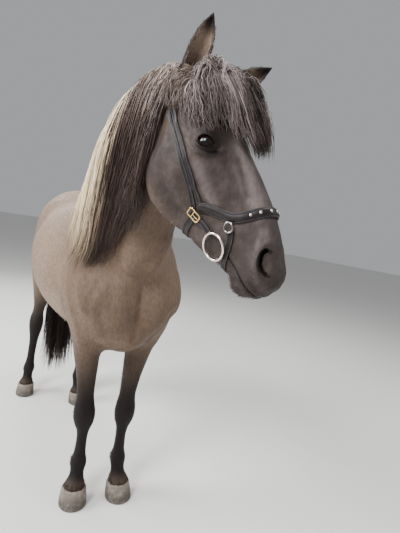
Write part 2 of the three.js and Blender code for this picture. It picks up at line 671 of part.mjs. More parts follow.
// Locks of hair: flat tapered strips that lie over what is under them.
function lock(path, width, thick) {
  const last = path.length - 1;
  const rings = path.map(({ at, side }, i) => {
    const along = path[Math.min(last, i + 1)].at.clone().sub(path[Math.max(0, i - 1)].at).normalize();
    const across = side.clone().addScaledVector(along, -side.dot(along)).normalize();
    const flat = along.clone().cross(across).normalize();
    const t = i / last;
    const share = mix(0.3, 1, smooth(t / 0.5)) * mix(1, 0.14, smooth((t - 0.5) / 0.5));
    const [w, h] = [(width * share) / 2, (thick * mix(1, 0.3, t)) / 2];
    return [
      at.clone().addScaledVector(across, w),
      at.clone().addScaledVector(flat, h),
      at.clone().addScaledVector(across, -w),
      at.clone().addScaledVector(flat, -h),
    ];
  });
  return solidOf(tube(rings));
}

// Lines of hair side by side: the place at `t` from the first line to the last and `u` along it.
const sheet = (lines) => {
  const curves = lines.map((line) => new THREE.CatmullRomCurve3(line, false, "centripetal"));
  return (t, u) => new THREE.CatmullRomCurve3(curves.map((curve) => curve.getPointAt(u))).getPoint(t);
};

// A lock's path from its root along a sheet of lines. Layer 1 is the sheet itself, and 0 lies on the body.
const LOCK_STEPS = [0.09, 0.28, 0.52, 0.78, 1];
const LOCK_FLOOR = 8;
function combed({ root, lines, t, layer, length }) {
  const sideAt = (u) => lines(Math.min(1, t + 0.06), u).sub(lines(Math.max(0, t - 0.06), u)).normalize();
  const path = [{ at: root, side: sideAt(LOCK_STEPS[0] * length) }];
  for (const u of LOCK_STEPS) {
    const way = lines(t, u * length);
    const { point, normal } = skin.closest(way);
    const ground = point.addScaledVector(normal, LOCK_FLOOR);
    path.push({ at: ground.lerp(way, mix(1, layer, smooth((u - 0.05) / 0.3))), side: sideAt(u * length) });
  }
  return path;
}

// Node solids, cut apart.
const neckCentre = (s) => V(column(neckRows, "x", s), column(neckRows, "y", s), column(neckRows, "z", s));
const neckFrame = squareFrame(UP);
const crestAt = (s, below = 0) => {
  const { up } = neckFrame(neckCentre, s);
  return neckCentre(s).addScaledVector(up, column(neckRows, "u", s) - below);
};
function crestTube(grow) {
  const stops = [16, 28, 40, 52, 64, 76, 88, 100, 109];
  const rings = stops.map((s) => {
    const { side, up } = neckFrame(neckCentre, s);
    return Array.from({ length: 10 }, (_, k) => {
      const angle = (2 * Math.PI * (k + 0.5)) / 10;
      return crestAt(s, 4)
        .addScaledVector(side, (22 + grow) * Math.cos(angle))
        .addScaledVector(up, (26 + grow) * Math.sin(angle));
    });
  });
  return solidOf(tube(rings));
}
const pollBump = (grow) => {
  const g = new THREE.SphereGeometry(1, 10, 6);
  g.scale(28 + grow, 24 + grow, 20 + grow);
  g.applyMatrix4(headMatrix.clone().multiply(new THREE.Matrix4().makeTranslation(0, 14, 1)));
  return solidOf(g);
};

const halfSpace = (point, normal) => [normal.clone().normalize().toArray(), normal.clone().normalize().dot(point)];
const cutBy = (thing, point, normal, gap) => {
  const [way, offset] = halfSpace(point, normal);
  return thing.trimByPlane(way, offset + gap);
};

const BASE = { at: V(0, -560, 1160), way: V(0, -360, 240).normalize() };
const KNEE = { fore: 404, hind: 492 };
const flip = (way) => way.clone().negate();

const made = {};
const headSolid = carvedHead();
const headClear = clearOf("head").add(joined([-1, 1].map((side) => ball(EYE_RADIUS + LID + GAP, onHead(side * EYE.x, EYE.y, EYE.z)))));
const neckOnly = cutBy(solid.neck.subtract(headClear), BASE.at, BASE.way, 0).subtract(clearOf("torso"));
const crestPiece = solid.neck.intersect(crestTube(0)).subtract(headClear);
const pollPiece = solid.head.intersect(pollBump(0));

made.torso = solid.torso.add(cutBy(solid.neck, BASE.at, flip(BASE.way), GAP)).subtract(crestTube(GAP));
made.neck = neckOnly.subtract(crestTube(GAP));
made.head = headSolid.subtract(pollBump(GAP));

const trunkClear = clearOf("torso", "neck");
for (const name of Object.keys(LEGS)) {
  const height = name.startsWith("fore") ? KNEE.fore : KNEE.hind;
  const leg = solid[name].trimByPlane([0, 0, 1], HOOF_HEIGHT + GAP);
  made[`${name}_upper`] = leg.trimByPlane([0, 0, 1], height + GAP).subtract(trunkClear);
  made[`${name}_lower`] = leg.trimByPlane([0, 0, -1], -height);
  made[`${name}_hoof`] = solidOf(hoofForm(LEGS[name], name.startsWith("fore")));
}

for (const [name, [outer, inner]] of Object.entries(EARS)) {
  made[name] = solidOf(outer).subtract(solidOf(inner)).subtract(headClear).subtract(clearOf("neck"));
}
made.eye_right = ball(EYE_RADIUS, onHead(-EYE.x, EYE.y, EYE.z));
made.eye_left = ball(EYE_RADIUS, onHead(EYE.x, EYE.y, EYE.z));

// The bridle.
const tack = {};
tack.noseband = strap([...noseHalf, [0, 381, -12], ...mirrored(noseHalf).reverse()], 23, 6, { count: 26, padded: true, lift: 2 });
tack.jaw_strap = strap([...jawHalf, [0, 303, -234], ...mirrored(jawHalf).reverse()], 18, 3, { count: 18 });
tack.chin_strap = strap([...chinHalf, [0, 436, -184], ...mirrored(chinHalf).reverse()], 15, 3, { count: 16 });
tack.crownpiece = strap([...crownHalf, [0, -32, -10], ...mirrored(crownHalf).reverse()], 25, 4, { count: 18, lift: 2 });
tack.browband = strap([...browHalf, [0, 48, 18], ...mirrored(browHalf).reverse()], 15, 4, { count: 18 });
for (const [word, side] of [["right", -1], ["left", 1]]) {
  tack[`noseband_cheek_${word}`] = strap(onSide(frontHalf, side), 11.5, 3.5, { count: 9 });
  tack[`cheek_strap_${word}`] = strap(onSide(rearHalf, side), 11.5, 3.5, { count: 9, lift: 1.6 });
  tack[`bit_strap_${word}`] = strap(onSide(lowHalf, side), 13, 3.2, { count: 6, lift: 7 });
  tack[`buckle_${word}`] = buckle(side);
  const [ringAt, ringOn] = onSide([[-56, 383, -158], [-50, 402, -150]], side);
  tack[`bit_ring_${word}`] = laid(ringShape(RING.bit), ringAt, ringOn, 9);
  const [smallAt, smallOn] = onSide([[-55, 371, -97], [-52, 384, -106]], side);
  tack[`small_ring_${word}`] = laid(ringShape(RING.small), smallAt, smallOn, 9.5);
}

const earClear = joined(Object.values(EARS).map(([outer]) => solidOf(swollen(outer, 4 * GAP))));
const clearance = joined([trunkClear, headClear, earClear]);
const placed = [];
for (const [name, piece] of Object.entries(tack)) {
  let shape = piece.subtract(clearance);
  for (const other of placed) shape = shape.subtract(other);
  made[name] = largest(shape);
  placed.push(solidOf(swollen(geometryOfSolid(made[name]), GAP)));
}

// Hair, joined to the slices that it grows from.
const LAYERS = [1, 0.6, 0.25];
const MANE = { count: 13, width: 95, thick: 14 };
const FORELOCK = { count: 7, width: 51, thick: 10 };
const TAIL = { count: 8, width: 70, thick: 26 };

// The mane's outermost lines, from the withers to behind the ears: the place on the crest that each leaves, and its
// places after. It falls over the right of the neck and is combed back.
const MANE_GUIDES = [
  [6, [[-50, -325, 1318], [-110, -322, 1300], [-160, -318, 1240], [-190, -318, 1170]]],
  [26, [[-30, -400, 1400], [-110, -405, 1395], [-180, -395, 1330], [-215, -370, 1230], [-225, -352, 1120]]],
  [48, [[-60, -515, 1500], [-145, -535, 1490], [-205, -530, 1400], [-228, -490, 1290], [-232, -430, 1150],
    [-232, -396, 1035]]],
  [70, [[-100, -680, 1615], [-180, -715, 1585], [-226, -715, 1495], [-238, -670, 1400], [-230, -600, 1290],
    [-218, -520, 1170], [-216, -465, 1040]]],
  [88, [[-140, -820, 1650], [-195, -850, 1595], [-214, -830, 1510], [-210, -770, 1420], [-197, -690, 1320],
    [-180, -600, 1190], [-170, -560, 1040]]],
  [103, [[-140, -945, 1652], [-180, -970, 1590], [-194, -950, 1500], [-186, -895, 1420], [-170, -815, 1340],
    [-152, -725, 1240], [-140, -610, 1045]]],
  [114, [[-142, -1010, 1622], [-165, -1022, 1560], [-160, -990, 1490], [-152, -955, 1410], [-142, -905, 1320],
    [-128, -805, 1210], [-116, -645, 1070]]],
];

// The forelock's outermost lines in the head's own frame, from its right to its left.
const FORELOCK_GUIDES = [
  [[-25, 0, 12], [-56, 10, 24], [-92, 30, 0], [-108, 62, -24], [-114, 100, -44], [-114, 130, -50], [-113, 150, -50]],
  [[-13, 0, 15], [-32, 5, 50], [-62, 30, 52], [-82, 78, 44], [-92, 125, 32], [-96, 165, 18], [-96, 198, 6]],
  [[0, 0, 15], [0, 5, 55], [0, 30, 74], [2, 80, 68], [4, 130, 54], [6, 185, 38], [8, 232, 24]],
  [[13, 0, 15], [35, 3, 68], [66, 22, 90], [92, 72, 82], [106, 128, 64], [110, 182, 44], [108, 228, 26]],
  [[25, 0, 12], [60, 0, 70], [104, 25, 86], [134, 75, 80], [142, 130, 56], [138, 175, 30], [124, 206, 2]],
];

function maneLocks() {
  const lines = sheet(MANE_GUIDES.map(([s, line]) => [crestAt(s, 6), ...line.map((place) => V(...place))]));
  return Array.from({ length: MANE.count }, (_, i) => {
    const share = (i + 0.5) / MANE.count; // 0 at the withers, 1 behind the ears
    const t = mix(0.17, 0.9, share);
    const root = crestAt(mix(24, 104, share), 8);
    return lock(combed({ root, lines, t, layer: LAYERS[i % 3], length: vary(0.95, 0.05) }), MANE.width, MANE.thick);
  });
}

function forelockLocks() {
  const lines = sheet(FORELOCK_GUIDES.map((line) => line.map((place) => onHead(...place))));
  return Array.from({ length: FORELOCK.count }, (_, i) => {
    const t = mix(0.03, 0.97, (i + 0.5) / FORELOCK.count);
    const root = onHead(mix(-20, 20, t), 14, 8);
    const length = vary(0.93, 0.07);
    return lock(combed({ root, lines, t, layer: LAYERS[(i * 2) % 3], length }), FORELOCK.width, FORELOCK.thick);
  });
}

const dockPath = [V(0, 690, 1150), V(2, 742, 1128), V(6, 768, 1050), V(10, 772, 950), V(12, 768, 860)];
const dock = wire(dockPath, [34, 34, 30, 24, 16, 8], 10);
function tailLocks() {
  const curve = new THREE.CatmullRomCurve3(dockPath);
  return Array.from({ length: TAIL.count }, (_, i) => {
    const t = mix(0.25, 0.96, i / TAIL.count);
    const angle = i * 2.4;
    const [x, y] = [Math.cos(angle), Math.sin(angle)];
    const from = curve.getPoint(t);
    const spread = mix(58, 22, t);
    const foot = V(24 + spread * x, 745 + spread * 0.8 * y, vary(150, 0.45));
    const path = Array.from({ length: 6 }, (_, k) => {
      const u = k / 5;
      const belly = Math.sin(Math.PI * Math.min(1, u * 1.2)) * 26;
      const at = from.clone().lerp(foot, u).add(V(x * belly, Math.max(0, y) * belly + belly * 0.3, 0));
      return { at, side: V(-y, x, 0) };
    });
    return lock(path, TAIL.width, TAIL.thick);
  });
}

// The slice that the locks grow from, with the locks clear of the skin outside it and rooted inside it.
function grown({ base, locks, root, skinClear, blocks = [] }) {
  const whole = joined(locks).subtract(skinClear.subtract(root)).add(base);
  return largest([...blocks, ...placed].reduce((rest, block) => rest.subtract(block), whole));
}
const legClear = clearOf(...Object.keys(LEGS));
made.mane = grown({
  base: crestPiece,
  locks: maneLocks(),
  root: crestTube(0),
  skinClear: trunkClear,
  blocks: [headClear, earClear, legClear],
});
const maneClear = made.mane.add(solidOf(swollen(geometryOfSolid(made.mane), GAP)));
made.forelock = grown({
  base: pollPiece,
  locks: forelockLocks(),
  root: pollBump(0),
  skinClear: headClear,
  blocks: [earClear, clearOf("neck"), maneClear],
});
made.tail = grown({ base: dock, locks: tailLocks(), root: dock, skinClear: trunkClear, blocks: [trunkClear, legClear] });

const COLOURS = { body: 0x8d7b6c, dark: 0x3a322d, hoof: 0x8c8478, eye: 0x120c09, leather: 0x1d1a1b, metal: 0xc9b59b, brass: 0xb8923f };
const colourOf = (name) => {
  if (name.startsWith("eye")) return [COLOURS.eye, 0.1, 0];
  if (name.startsWith("buckle")) return [COLOURS.brass, 0.3, 1];
  if (name.includes("ring")) return [COLOURS.metal, 0.25, 1];
  if (name in tack) return [COLOURS.leather, 0.5, 0];
  if (name.endsWith("hoof")) return [COLOURS.hoof, 0.6, 0];
  if (name.endsWith("lower") || name === "tail") return [COLOURS.dark, 0.85, 0];
  if (name === "mane" || name === "forelock") return [0x6f6158, 0.8, 0];
  return [COLOURS.body, 0.85, 0];
};

// The origin is the middle of the part's footprint, on the ground.
const bounds = new THREE.Box3();
for (const shape of Object.values(made)) {
  const { min, max } = shape.boundingBox();
  bounds.expandByPoint(V(...min)).expandByPoint(V(...max));
}
const middle = bounds.getCenter(V());
const horse = new THREE.Group();
horse.name = "icelandic_horse";
for (const [name, shape] of Object.entries(made)) {
  const placedShape = settled(shape.translate(-middle.x, -middle.y, 0));
  const mesh = new THREE.Mesh(geometryOfSolid(placedShape), new THREE.MeshStandardMaterial());
  const [colour, roughness, metalness] = colourOf(name);
  mesh.material.color.set(colour);
  mesh.material.roughness = roughness;
  mesh.material.metalness = metalness;
  mesh.name = name;
  horse.add(mesh);
}
export default horse;
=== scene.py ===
"""An Icelandic horse, life size, standing with its neck raised and its head turned a little to its left."""

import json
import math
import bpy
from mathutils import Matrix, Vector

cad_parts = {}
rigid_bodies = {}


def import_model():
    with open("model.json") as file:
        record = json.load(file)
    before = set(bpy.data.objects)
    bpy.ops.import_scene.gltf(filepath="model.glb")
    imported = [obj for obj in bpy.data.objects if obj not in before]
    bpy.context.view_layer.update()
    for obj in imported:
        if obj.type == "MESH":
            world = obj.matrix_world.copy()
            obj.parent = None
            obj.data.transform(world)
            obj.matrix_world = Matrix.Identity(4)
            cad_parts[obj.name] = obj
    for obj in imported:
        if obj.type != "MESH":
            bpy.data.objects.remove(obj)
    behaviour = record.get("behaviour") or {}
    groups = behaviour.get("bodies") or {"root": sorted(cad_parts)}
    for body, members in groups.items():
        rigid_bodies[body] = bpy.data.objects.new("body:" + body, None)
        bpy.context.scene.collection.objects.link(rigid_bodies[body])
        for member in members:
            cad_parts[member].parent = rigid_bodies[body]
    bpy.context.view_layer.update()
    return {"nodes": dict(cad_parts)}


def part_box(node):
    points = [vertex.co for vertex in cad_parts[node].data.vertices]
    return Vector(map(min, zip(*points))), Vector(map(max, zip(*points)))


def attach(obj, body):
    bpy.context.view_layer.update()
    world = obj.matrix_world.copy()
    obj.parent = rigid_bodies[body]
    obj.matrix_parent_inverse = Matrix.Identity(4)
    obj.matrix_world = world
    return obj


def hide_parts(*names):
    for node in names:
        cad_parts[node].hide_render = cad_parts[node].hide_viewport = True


bl_info = {
    "name": "Icelandic horse",
    "version": (1, 0, 0),
    "blender": (4, 5, 0),
    "location": "3D View > Sidebar > Horse",
    "description": "Skin, coat, mane, forelock, tail, eyes, hooves and leather bridle of a mouse dun horse",
    "category": "Object",
}

import bmesh
import bpy
import numpy as np
from mathutils import Matrix, Vector
from mathutils.bvhtree import BVHTree

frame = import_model()

# Sizes are in millimetres in the horse's own frame: +X is its left, -Y the way it faces, +Z up.
MM = 0.001  # a millimetre in metres
LEFT = np.array([1.0, 0, 0])
AHEAD = np.array([0, -1.0, 0])
UP = np.array([0, 0, 1.0])
POLL = np.array([-98.0, -1090.0, 1579.0])  # where the head's own frame starts
HEAD_TURN = 26.6  # degrees to its left
HEAD_SLOPE = 49.0  # degrees that its face points down
HEAD_TILT = 1.7  # degrees to its side
HEAD_LENGTH = 530
EYE = np.array([80.0, 189.0, -45.0])  # the left eye's centre in the head's own frame
EYE_RADIUS = 21.0
LID = 4.0  # how thick the lids are
HOOF_TOP = 66
SIDES = (-1, 1)  # right and left
# Starts of the random draws, one for each kind of hair.
SEEDS = {"strands": 3, "mane": 11, "forelock": 12, "tail": 13, "tufts": 14, "lashes": 15, "temple": 16}
# How far from both of two forms the crease between them is smoothed.
CREASES = {"body": 55, "throat": 14, "lids": 6, "ears": 5, "cut": 16}


# Frames and places
def unit(v):
    v = np.asarray(v, float)
    return v / (np.linalg.norm(v, axis=-1, keepdims=True) + 1e-12)


def bell(x, width, at=0.0):
    """1 at a place, and less with the distance from it on both sides."""
    return np.exp(-(((x - at) / width) ** 2))


def smoothstep(x, low, high):
    t = np.clip((np.asarray(x, float) - low) / (high - low), 0, 1)
    return t * t * (3 - 2 * t)


def fade(x, low, high):
    return 1 - smoothstep(x, low, high)


def about_z(angle):
    """A turn about the vertical."""
    c, s = math.cos(angle), math.sin(angle)
    return np.array([[c, -s, 0], [s, c, 0], [0, 0, 1]])


def head_axes():
    """The head's own axes as columns: to its left, down its face, and out through its forehead."""
    turn, slope, tilt = np.radians([HEAD_TURN, HEAD_SLOPE, HEAD_TILT])
    down = [0, -math.cos(slope), -math.sin(slope)]
    out = [0, -math.sin(slope), math.cos(slope)]
    face = np.array([[1, 0, 0], down, out]).T
    c, s = math.cos(tilt), math.sin(tilt)
    about_face = np.array([[c, 0, s], [0, 1, 0], [-s, 0, c]])
    return about_z(turn) @ face @ about_face


HEAD_AXES = head_axes()


def on_head(points):
    return np.asarray(points, float) @ HEAD_AXES.T + POLL


def off_head(points):
    """Places in the head's own frame."""
    return (np.asarray(points, float) - POLL) @ HEAD_AXES


def head_way(v):
    return unit(np.asarray(v, float) @ HEAD_AXES.T)


def shift():
    """What the frame's origin adds to the horse's own, found from an eye."""
    low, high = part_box("eye_right")
    found = (np.array(low) + np.array(high)) / 2 / MM
    away = found - on_head(EYE * [-1, 1, 1])
    return np.array([away[0], away[1], 0.0])


SHIFT = shift()


def to_frame(points):
    return (np.asarray(points, float) + SHIFT) * MM


def to_horse(points):
    return np.asarray(points, float) / MM - SHIFT


# Sections of the body, each a row of sizes at a place along it: x, y and z are a section's centre, w is its
# half width, u and d its reach up and down, nu and nd the squareness of its halves, where 2 is an ellipse.
def table(names, rows, axis=None):
    """Columns of numbers. With an axis, sections stand along it, and centres that aren't given are on it."""
    columns = dict(zip(names.split(), np.array(rows, float).T))
    if axis:
        on_axis = {key: columns["at"] * 0 for key in "xyz"}
        on_axis[axis] = columns["at"]
        columns = {**on_axis, **columns}
    return columns


TORSO = table("at z w u d nu nd", [
    (-676, 895, 14, 16, 16, 2, 2), (-664, 898, 84, 84, 66, 2, 2), (-640, 902, 138, 142, 122, 2, 2),
    (-600, 910, 174, 185, 178, 2, 2.1), (-540, 935, 202, 262, 242, 1.9, 2.2),
    (-470, 958, 220, 345, 276, 1.75, 2.2), (-390, 972, 232, 396, 296, 1.65, 2.1),
    (-290, 980, 252, 382, 310, 1.75, 2.1), (-160, 985, 278, 322, 318, 2.05, 2.2),
    (-20, 985, 294, 292, 320, 2.2, 2.2), (110, 990, 297, 288, 306, 2.2, 2.2),
    (230, 1010, 286, 300, 284, 2.1, 2.1), (350, 1036, 266, 306, 246, 2, 2),
    (460, 1056, 250, 290, 212, 2.1, 2), (560, 1072, 226, 248, 182, 2.1, 2),
    (640, 1082, 186, 180, 148, 2, 2), (695, 1084, 128, 108, 108, 2, 2), (724, 1082, 66, 52, 60, 2, 2),
    (734, 1082, 12, 10, 12, 2, 2),
], "y")

NECK = table("at x y z w u d nu", [
    (0, 0, -400, 1090, 120, 190, 190, 2), (20, 0, -500, 1156, 142, 240, 232, 1.8),
    (40, -18, -618, 1256, 124, 236, 218, 1.7), (60, -46, -728, 1362, 104, 222, 194, 1.65),
    (80, -80, -832, 1458, 90, 196, 178, 1.65), (100, -106, -938, 1518, 80, 148, 152, 1.75),
    (116, -120, -1018, 1534, 62, 88, 106, 2), (124, -124, -1050, 1536, 30, 40, 52, 2),
])

HEAD = table("at z w u d nu nd", [
    (-40, -66, 26, 22, 34, 2, 2), (-27, -64, 50, 47, 65, 2, 2), (-7, -62, 66, 65, 98, 2.2, 2),
    (24, -62, 77, 75, 137, 2.4, 2.1), (60, -66, 84, 80, 169, 2.6, 2.1), (102, -70, 89, 84, 184, 2.8, 2.1),
    (141, -68, 93, 80, 199, 2.8, 2.2), (179, -67, 94, 76, 208, 2.7, 2.2), (218, -72, 87, 76, 202, 2.5, 2.1),
    (257, -79, 76, 79, 174, 2.4, 2), (301, -84, 66, 81, 142, 2.3, 2), (344, -88, 59, 82, 125, 2.2, 2),
    (385, -92, 55, 79, 106, 2.2, 2), (421, -94, 53, 72, 88, 2.2, 2.1), (452, -94, 55, 60, 79, 2.3, 2.2),
    (479, -96, 57, 49, 80, 2.4, 2.3), (502, -100, 54, 42, 68, 2.4, 2.3), (518, -104, 43, 33, 46, 2.2, 2.2),
    (527, -107, 29, 24, 27, 2, 2), (HEAD_LENGTH, -107, 11, 9, 12, 2, 2),
], "y")

FORE = table("at y w u d", [
    (62, -26, 49, 45, 46), (76, -23, 46, 41, 43), (98, -14, 33, 31, 34), (120, -5, 31, 29, 34),
    (142, 0, 36, 34, 42), (158, 0, 37, 35, 44), (182, 0, 30, 29, 37), (215, 0, 25, 24, 33),
    (265, 0, 24, 24, 32), (312, 0, 28, 28, 33), (342, 0, 40, 37, 37), (372, 0, 47, 44, 43),
    (402, 0, 48, 46, 43), (432, 0, 42, 40, 40), (470, 0, 37, 37, 39), (540, 0, 41, 44, 46),
    (620, 0, 51, 58, 60), (700, 0, 63, 80, 90), (780, 0, 78, 104, 120), (860, -6, 84, 122, 136),
    (940, -14, 66, 106, 118), (990, -18, 22, 40, 44),
])
HIND = table("at y w u d", [
    (62, -24, 46, 43, 44), (76, -21, 43, 39, 41), (100, -12, 31, 30, 33), (122, -3, 30, 28, 34),
    (146, 2, 35, 34, 41), (162, 3, 36, 35, 43), (190, 4, 29, 29, 35), (240, 6, 25, 26, 33),
    (320, 8, 26, 28, 35), (380, 8, 32, 35, 39), (425, 10, 41, 46, 48), (465, 14, 44, 52, 58),
    (500, 18, 40, 52, 68), (530, 10, 34, 48, 66), (575, -8, 36, 50, 54), (635, -32, 47, 66, 66),
    (705, -56, 62, 90, 92), (780, -74, 80, 118, 124), (860, -80, 96, 146, 156), (950, -74, 106, 162, 176),
    (1040, -62, 104, 160, 170), (1120, -55, 78, 130, 136), (1180, -50, 26, 50, 50),
])
# Each leg's sections, and the line that its centres follow.
LEGS = {
    "fore_right": (FORE, table("at x y", [
        (0, -104, -438), (150, -72, -422), (385, -84, -450), (700, -112, -446), (850, -130, -446),
        (1000, -132, -446),
    ])),
    "fore_left": (FORE, table("at x y", [
        (0, 104, -454), (150, 99, -438), (385, 88, -460), (700, 112, -452), (850, 130, -448),
        (1000, 132, -446),
    ])),
    "hind_right": (HIND, table("at x y", [
        (0, -186, 622), (155, -166, 628), (490, -154, 622), (780, -146, 612), (950, -140, 608),
        (1200, -138, 606),
    ])),
    "hind_left": (HIND, table("at x y", [
        (0, 112, 446), (155, 112, 452), (490, 124, 508), (780, 138, 560), (950, 140, 596), (1200, 138, 606),
    ])),
}


def column(rows, key, at):
    """One column of a table at places along it, by a monotone cubic through its rows."""
    places = rows["at"]
    values = rows[key] if key in rows else places * 0 + 2
    slopes = np.diff(values) / np.diff(places)
    tangents = np.concatenate([slopes[:1], np.zeros(len(slopes) - 1), slopes[-1:]])
    before, after = slopes[:-1], slopes[1:]
    same = before * after > 0
    tangents[1:-1][same] = 2 * (before * after)[same] / (before + after)[same]
    at = np.clip(np.asarray(at, float), places[0], places[-1])
    i = np.clip(np.searchsorted(places, at, side="right") - 1, 0, len(places) - 2)
    span = places[i + 1] - places[i]
    t = (at - places[i]) / span
    return (
        values[i] * (1 + 2 * t) * (1 - t) ** 2
        + values[i + 1] * t * t * (3 - 2 * t)
        + span * tangents[i] * t * (1 - t) ** 2
        - span * tangents[i + 1] * t * t * (1 - t)
    )


def leg_table(name):
    rows, axis = LEGS[name]
    made = dict(rows)
    made["x"] = column(axis, "x", rows["at"])
    made["y"] = column(axis, "y", rows["at"]) + rows["y"]
    made["z"] = rows["at"]
    return made


def pair(x, y, z, reach, px, py, pz):
    """The same swelling on both sides."""
    return [((x, y, z), reach, (px, py, pz)), ((-x, y, z), reach, (-px, py, pz))]


# Swellings, each with its place, its reach and its push.
TORSO_SWELLS = [
    *pair(186, -620, 925, 70, 16, -20, 0),
    *pair(215, -520, 1060, 120, 10, -6, 0),
    *pair(222, -425, 930, 95, 16, 0, 0),
    *pair(238, -315, 930, 60, -12, 0, 0),
    *pair(205, 250, 1238, 48, 12, 0, 8),
    *pair(262, 205, 1150, 85, -14, 0, 0),
    *pair(120, 640, 1130, 80, 10, 12, 0),
    *pair(72, -655, 870, 68, 0, -16, 0),
    ((0, -670, 870), 34, (0, 16, 0)),
    ((0, 440, 1345), 60, (0, 0, -5)),
]
NECK_SWELLS = [
    ((88, -700, 1200), 60, (-10, 0, 0)),
    ((-122, -700, 1200), 60, (10, 0, 0)),
    ((-20, -640, 1560), 130, (-34, 0, 0)),
    ((-75, -820, 1640), 90, (-22, 0, 0)),
]
LEG_SWELLS = {"fore_left": [((196, -470, 800), 90, (24, 0, 0))]}  # the loaded leg's upper arm
HEAD_SWELLS = [
    *pair(86, 174, -34, 30, 13, 0, 5),
    *pair(92, 200, -74, 24, 6, 0, 0),
    *pair(68, 112, -10, 26, -7, 0, -8),
    *pair(82, 130, -180, 62, 6, 0, 0),
    *pair(70, 250, -96, 38, 6, 0, 0),
    *pair(60, 320, -118, 40, -5, 0, 0),
    *pair(54, 470, -84, 26, 7, 0, 2),
    *pair(48, 424, -78, 24, -3, 0, 0),
    ((0, 285, -2), 46, (0, 0, 3)),
    ((0, 492, -176), 24, (0, 0, -6)),
    ((0, 436, -182), 24, (0, 0, 6)),
    ((0, 215, -262), 46, (0, 0, 14)),
]


def centre_line(rows, at):
    return np.stack([column(rows, key, at) for key in "xyz"], -1)


def square_frame(rows, at):
    """Across and up for sections square to the curve that the centres follow."""
    along = unit(centre_line(rows, at + 1) - centre_line(rows, at - 1))
    up = unit(UP - along * (along @ UP)[:, None])
    return unit(np.cross(up, along)), up


def loft(rows, stops, sides, across, up, swells=(), inset=0.0):
    """Rings of points round a body form, in the horse's own frame."""
    stops = np.asarray(stops, float)
    w, u, d = [np.maximum(column(rows, key, stops) - inset, 0.5)[:, None] for key in "wud"]
    nu, nd = [column(rows, key, stops)[:, None] for key in ("nu", "nd")]
    angle = 2 * np.pi * (np.arange(sides) + 0.5) / sides
    c, s = np.cos(angle)[None], np.sin(angle)[None]
    n = np.where(s >= 0, nu, nd)
    side = w * np.sign(c) * np.abs(c) ** (2 / n)
    rise = np.where(s >= 0, u, d) * np.sign(s) * np.abs(s) ** (2 / n)
    rings = centre_line(rows, stops)[:, None] + side[..., None] * across + rise[..., None] * up
    rest = rings.copy()
    for place, reach, push in swells:
        share = np.exp(-((rest - place) ** 2).sum(-1) / reach**2)
        rings += share[..., None] * np.array(push, float)
    return rings


def tube(rings, closed=False):
    """Points and faces of a tube through rings, with a fan on each end or closed round into a hoop."""
    count, sides = rings.shape[:2]
    points = rings.reshape(-1, 3)
    faces = []
    for r in range(count if closed else count - 1):
        here, after = r * sides, (r + 1) % count * sides
        for k in range(sides):
            turned = (k + 1) % sides
            faces.append((here + k, here + turned, after + turned, after + k))
    if not closed:
        for r, flipped in ((0, True), (count - 1, False)):
            middle = len(points)
            points = np.vstack([points, rings[r].mean(0)])
            for k in range(sides):
                a, b = r * sides + k, r * sides + (k + 1) % sides
                faces.append((middle, b, a) if flipped else (middle, a, b))
    return points, faces


# Meshes
def select_only(*objects):
    for other in bpy.context.scene.objects:
        other.select_set(other in objects)
    bpy.context.view_layer.objects.active = objects[0]


def edited(piece, change):
    """Opens a piece's mesh for a change."""
    bm = bmesh.new()
    bm.from_mesh(piece.data)
    change(bm)
    bm.to_mesh(piece.data)
    bm.free()


def new_piece(name, points, faces):
    """A mesh object from points in the horse's frame, its faces turned outwards."""
    mesh = bpy.data.meshes.new(name)
    mesh.from_pydata(to_frame(points).tolist(), [], faces)
    piece = bpy.data.objects.new(name, mesh)
    bpy.context.scene.collection.objects.link(piece)
    edited(piece, lambda bm: bmesh.ops.recalc_face_normals(bm, faces=bm.faces))
    return piece


def modified(piece, kind, **settings):
    """Adds a modifier and applies it."""
    select_only(piece)
    modifier = piece.modifiers.new(kind.lower(), kind)
    for key, value in settings.items():
        setattr(modifier, key, value)
    bpy.ops.object.modifier_apply(modifier=modifier.name)
    return piece


def joined(name, pieces):
    select_only(*pieces)
    bpy.ops.object.join()
    pieces[0].name = name
    pieces[0].data.name = name
    return pieces[0]


def shaded_smooth(piece):
    select_only(piece)
    bpy.ops.object.shade_smooth()
    return piece


def places(piece):
    co = np.empty(len(piece.data.vertices) * 3)
    piece.data.vertices.foreach_get("co", co)
    return to_horse(co.reshape(-1, 3))


def normals(piece):
    out = np.empty(len(piece.data.vertices) * 3)
    piece.data.vertex_normals.foreach_get("vector", out)
    return out.reshape(-1, 3)


def move_to(piece, points):
    piece.data.vertices.foreach_set("co", to_frame(points).astype(np.float32).ravel())
    piece.data.update()


def tree_of(piece):
    """A search tree of a piece, in metres."""
    return BVHTree.FromObject(piece, bpy.context.evaluated_depsgraph_get())


def nearest(tree, points):
    """The nearest places on a surface to points in the horse's frame, the ways out of it, and how far."""
    found = [tree.find_nearest(p) for p in to_frame(points).tolist()]
    spots = to_horse([f[0] for f in found])
    ways = np.array([f[1] for f in found])
    return spots, ways, np.array([f[3] for f in found]) / MM


WEIGHT_STEPS = 20


def smoothed(piece, values, rounds):
    """Smooths a piece, each point as much as its value from 0 to 1 says."""
    group = piece.vertex_groups.new(name="smooth")
    steps = np.round(np.clip(values, 0, 1) * WEIGHT_STEPS).astype(int)
    for step in range(1, WEIGHT_STEPS + 1):
        group.add(np.flatnonzero(steps == step).tolist(), step / WEIGHT_STEPS, "REPLACE")
    modified(piece, "SMOOTH", vertex_group="smooth", iterations=rounds, factor=0.5)
    piece.vertex_groups.clear()


def mark(piece, name, values):
    """A number for each point that the materials read."""
    attribute = piece.data.attributes.new(name, "FLOAT", "POINT")
    attribute.data.foreach_set("value", np.clip(values, 0, 1).astype(np.float32))


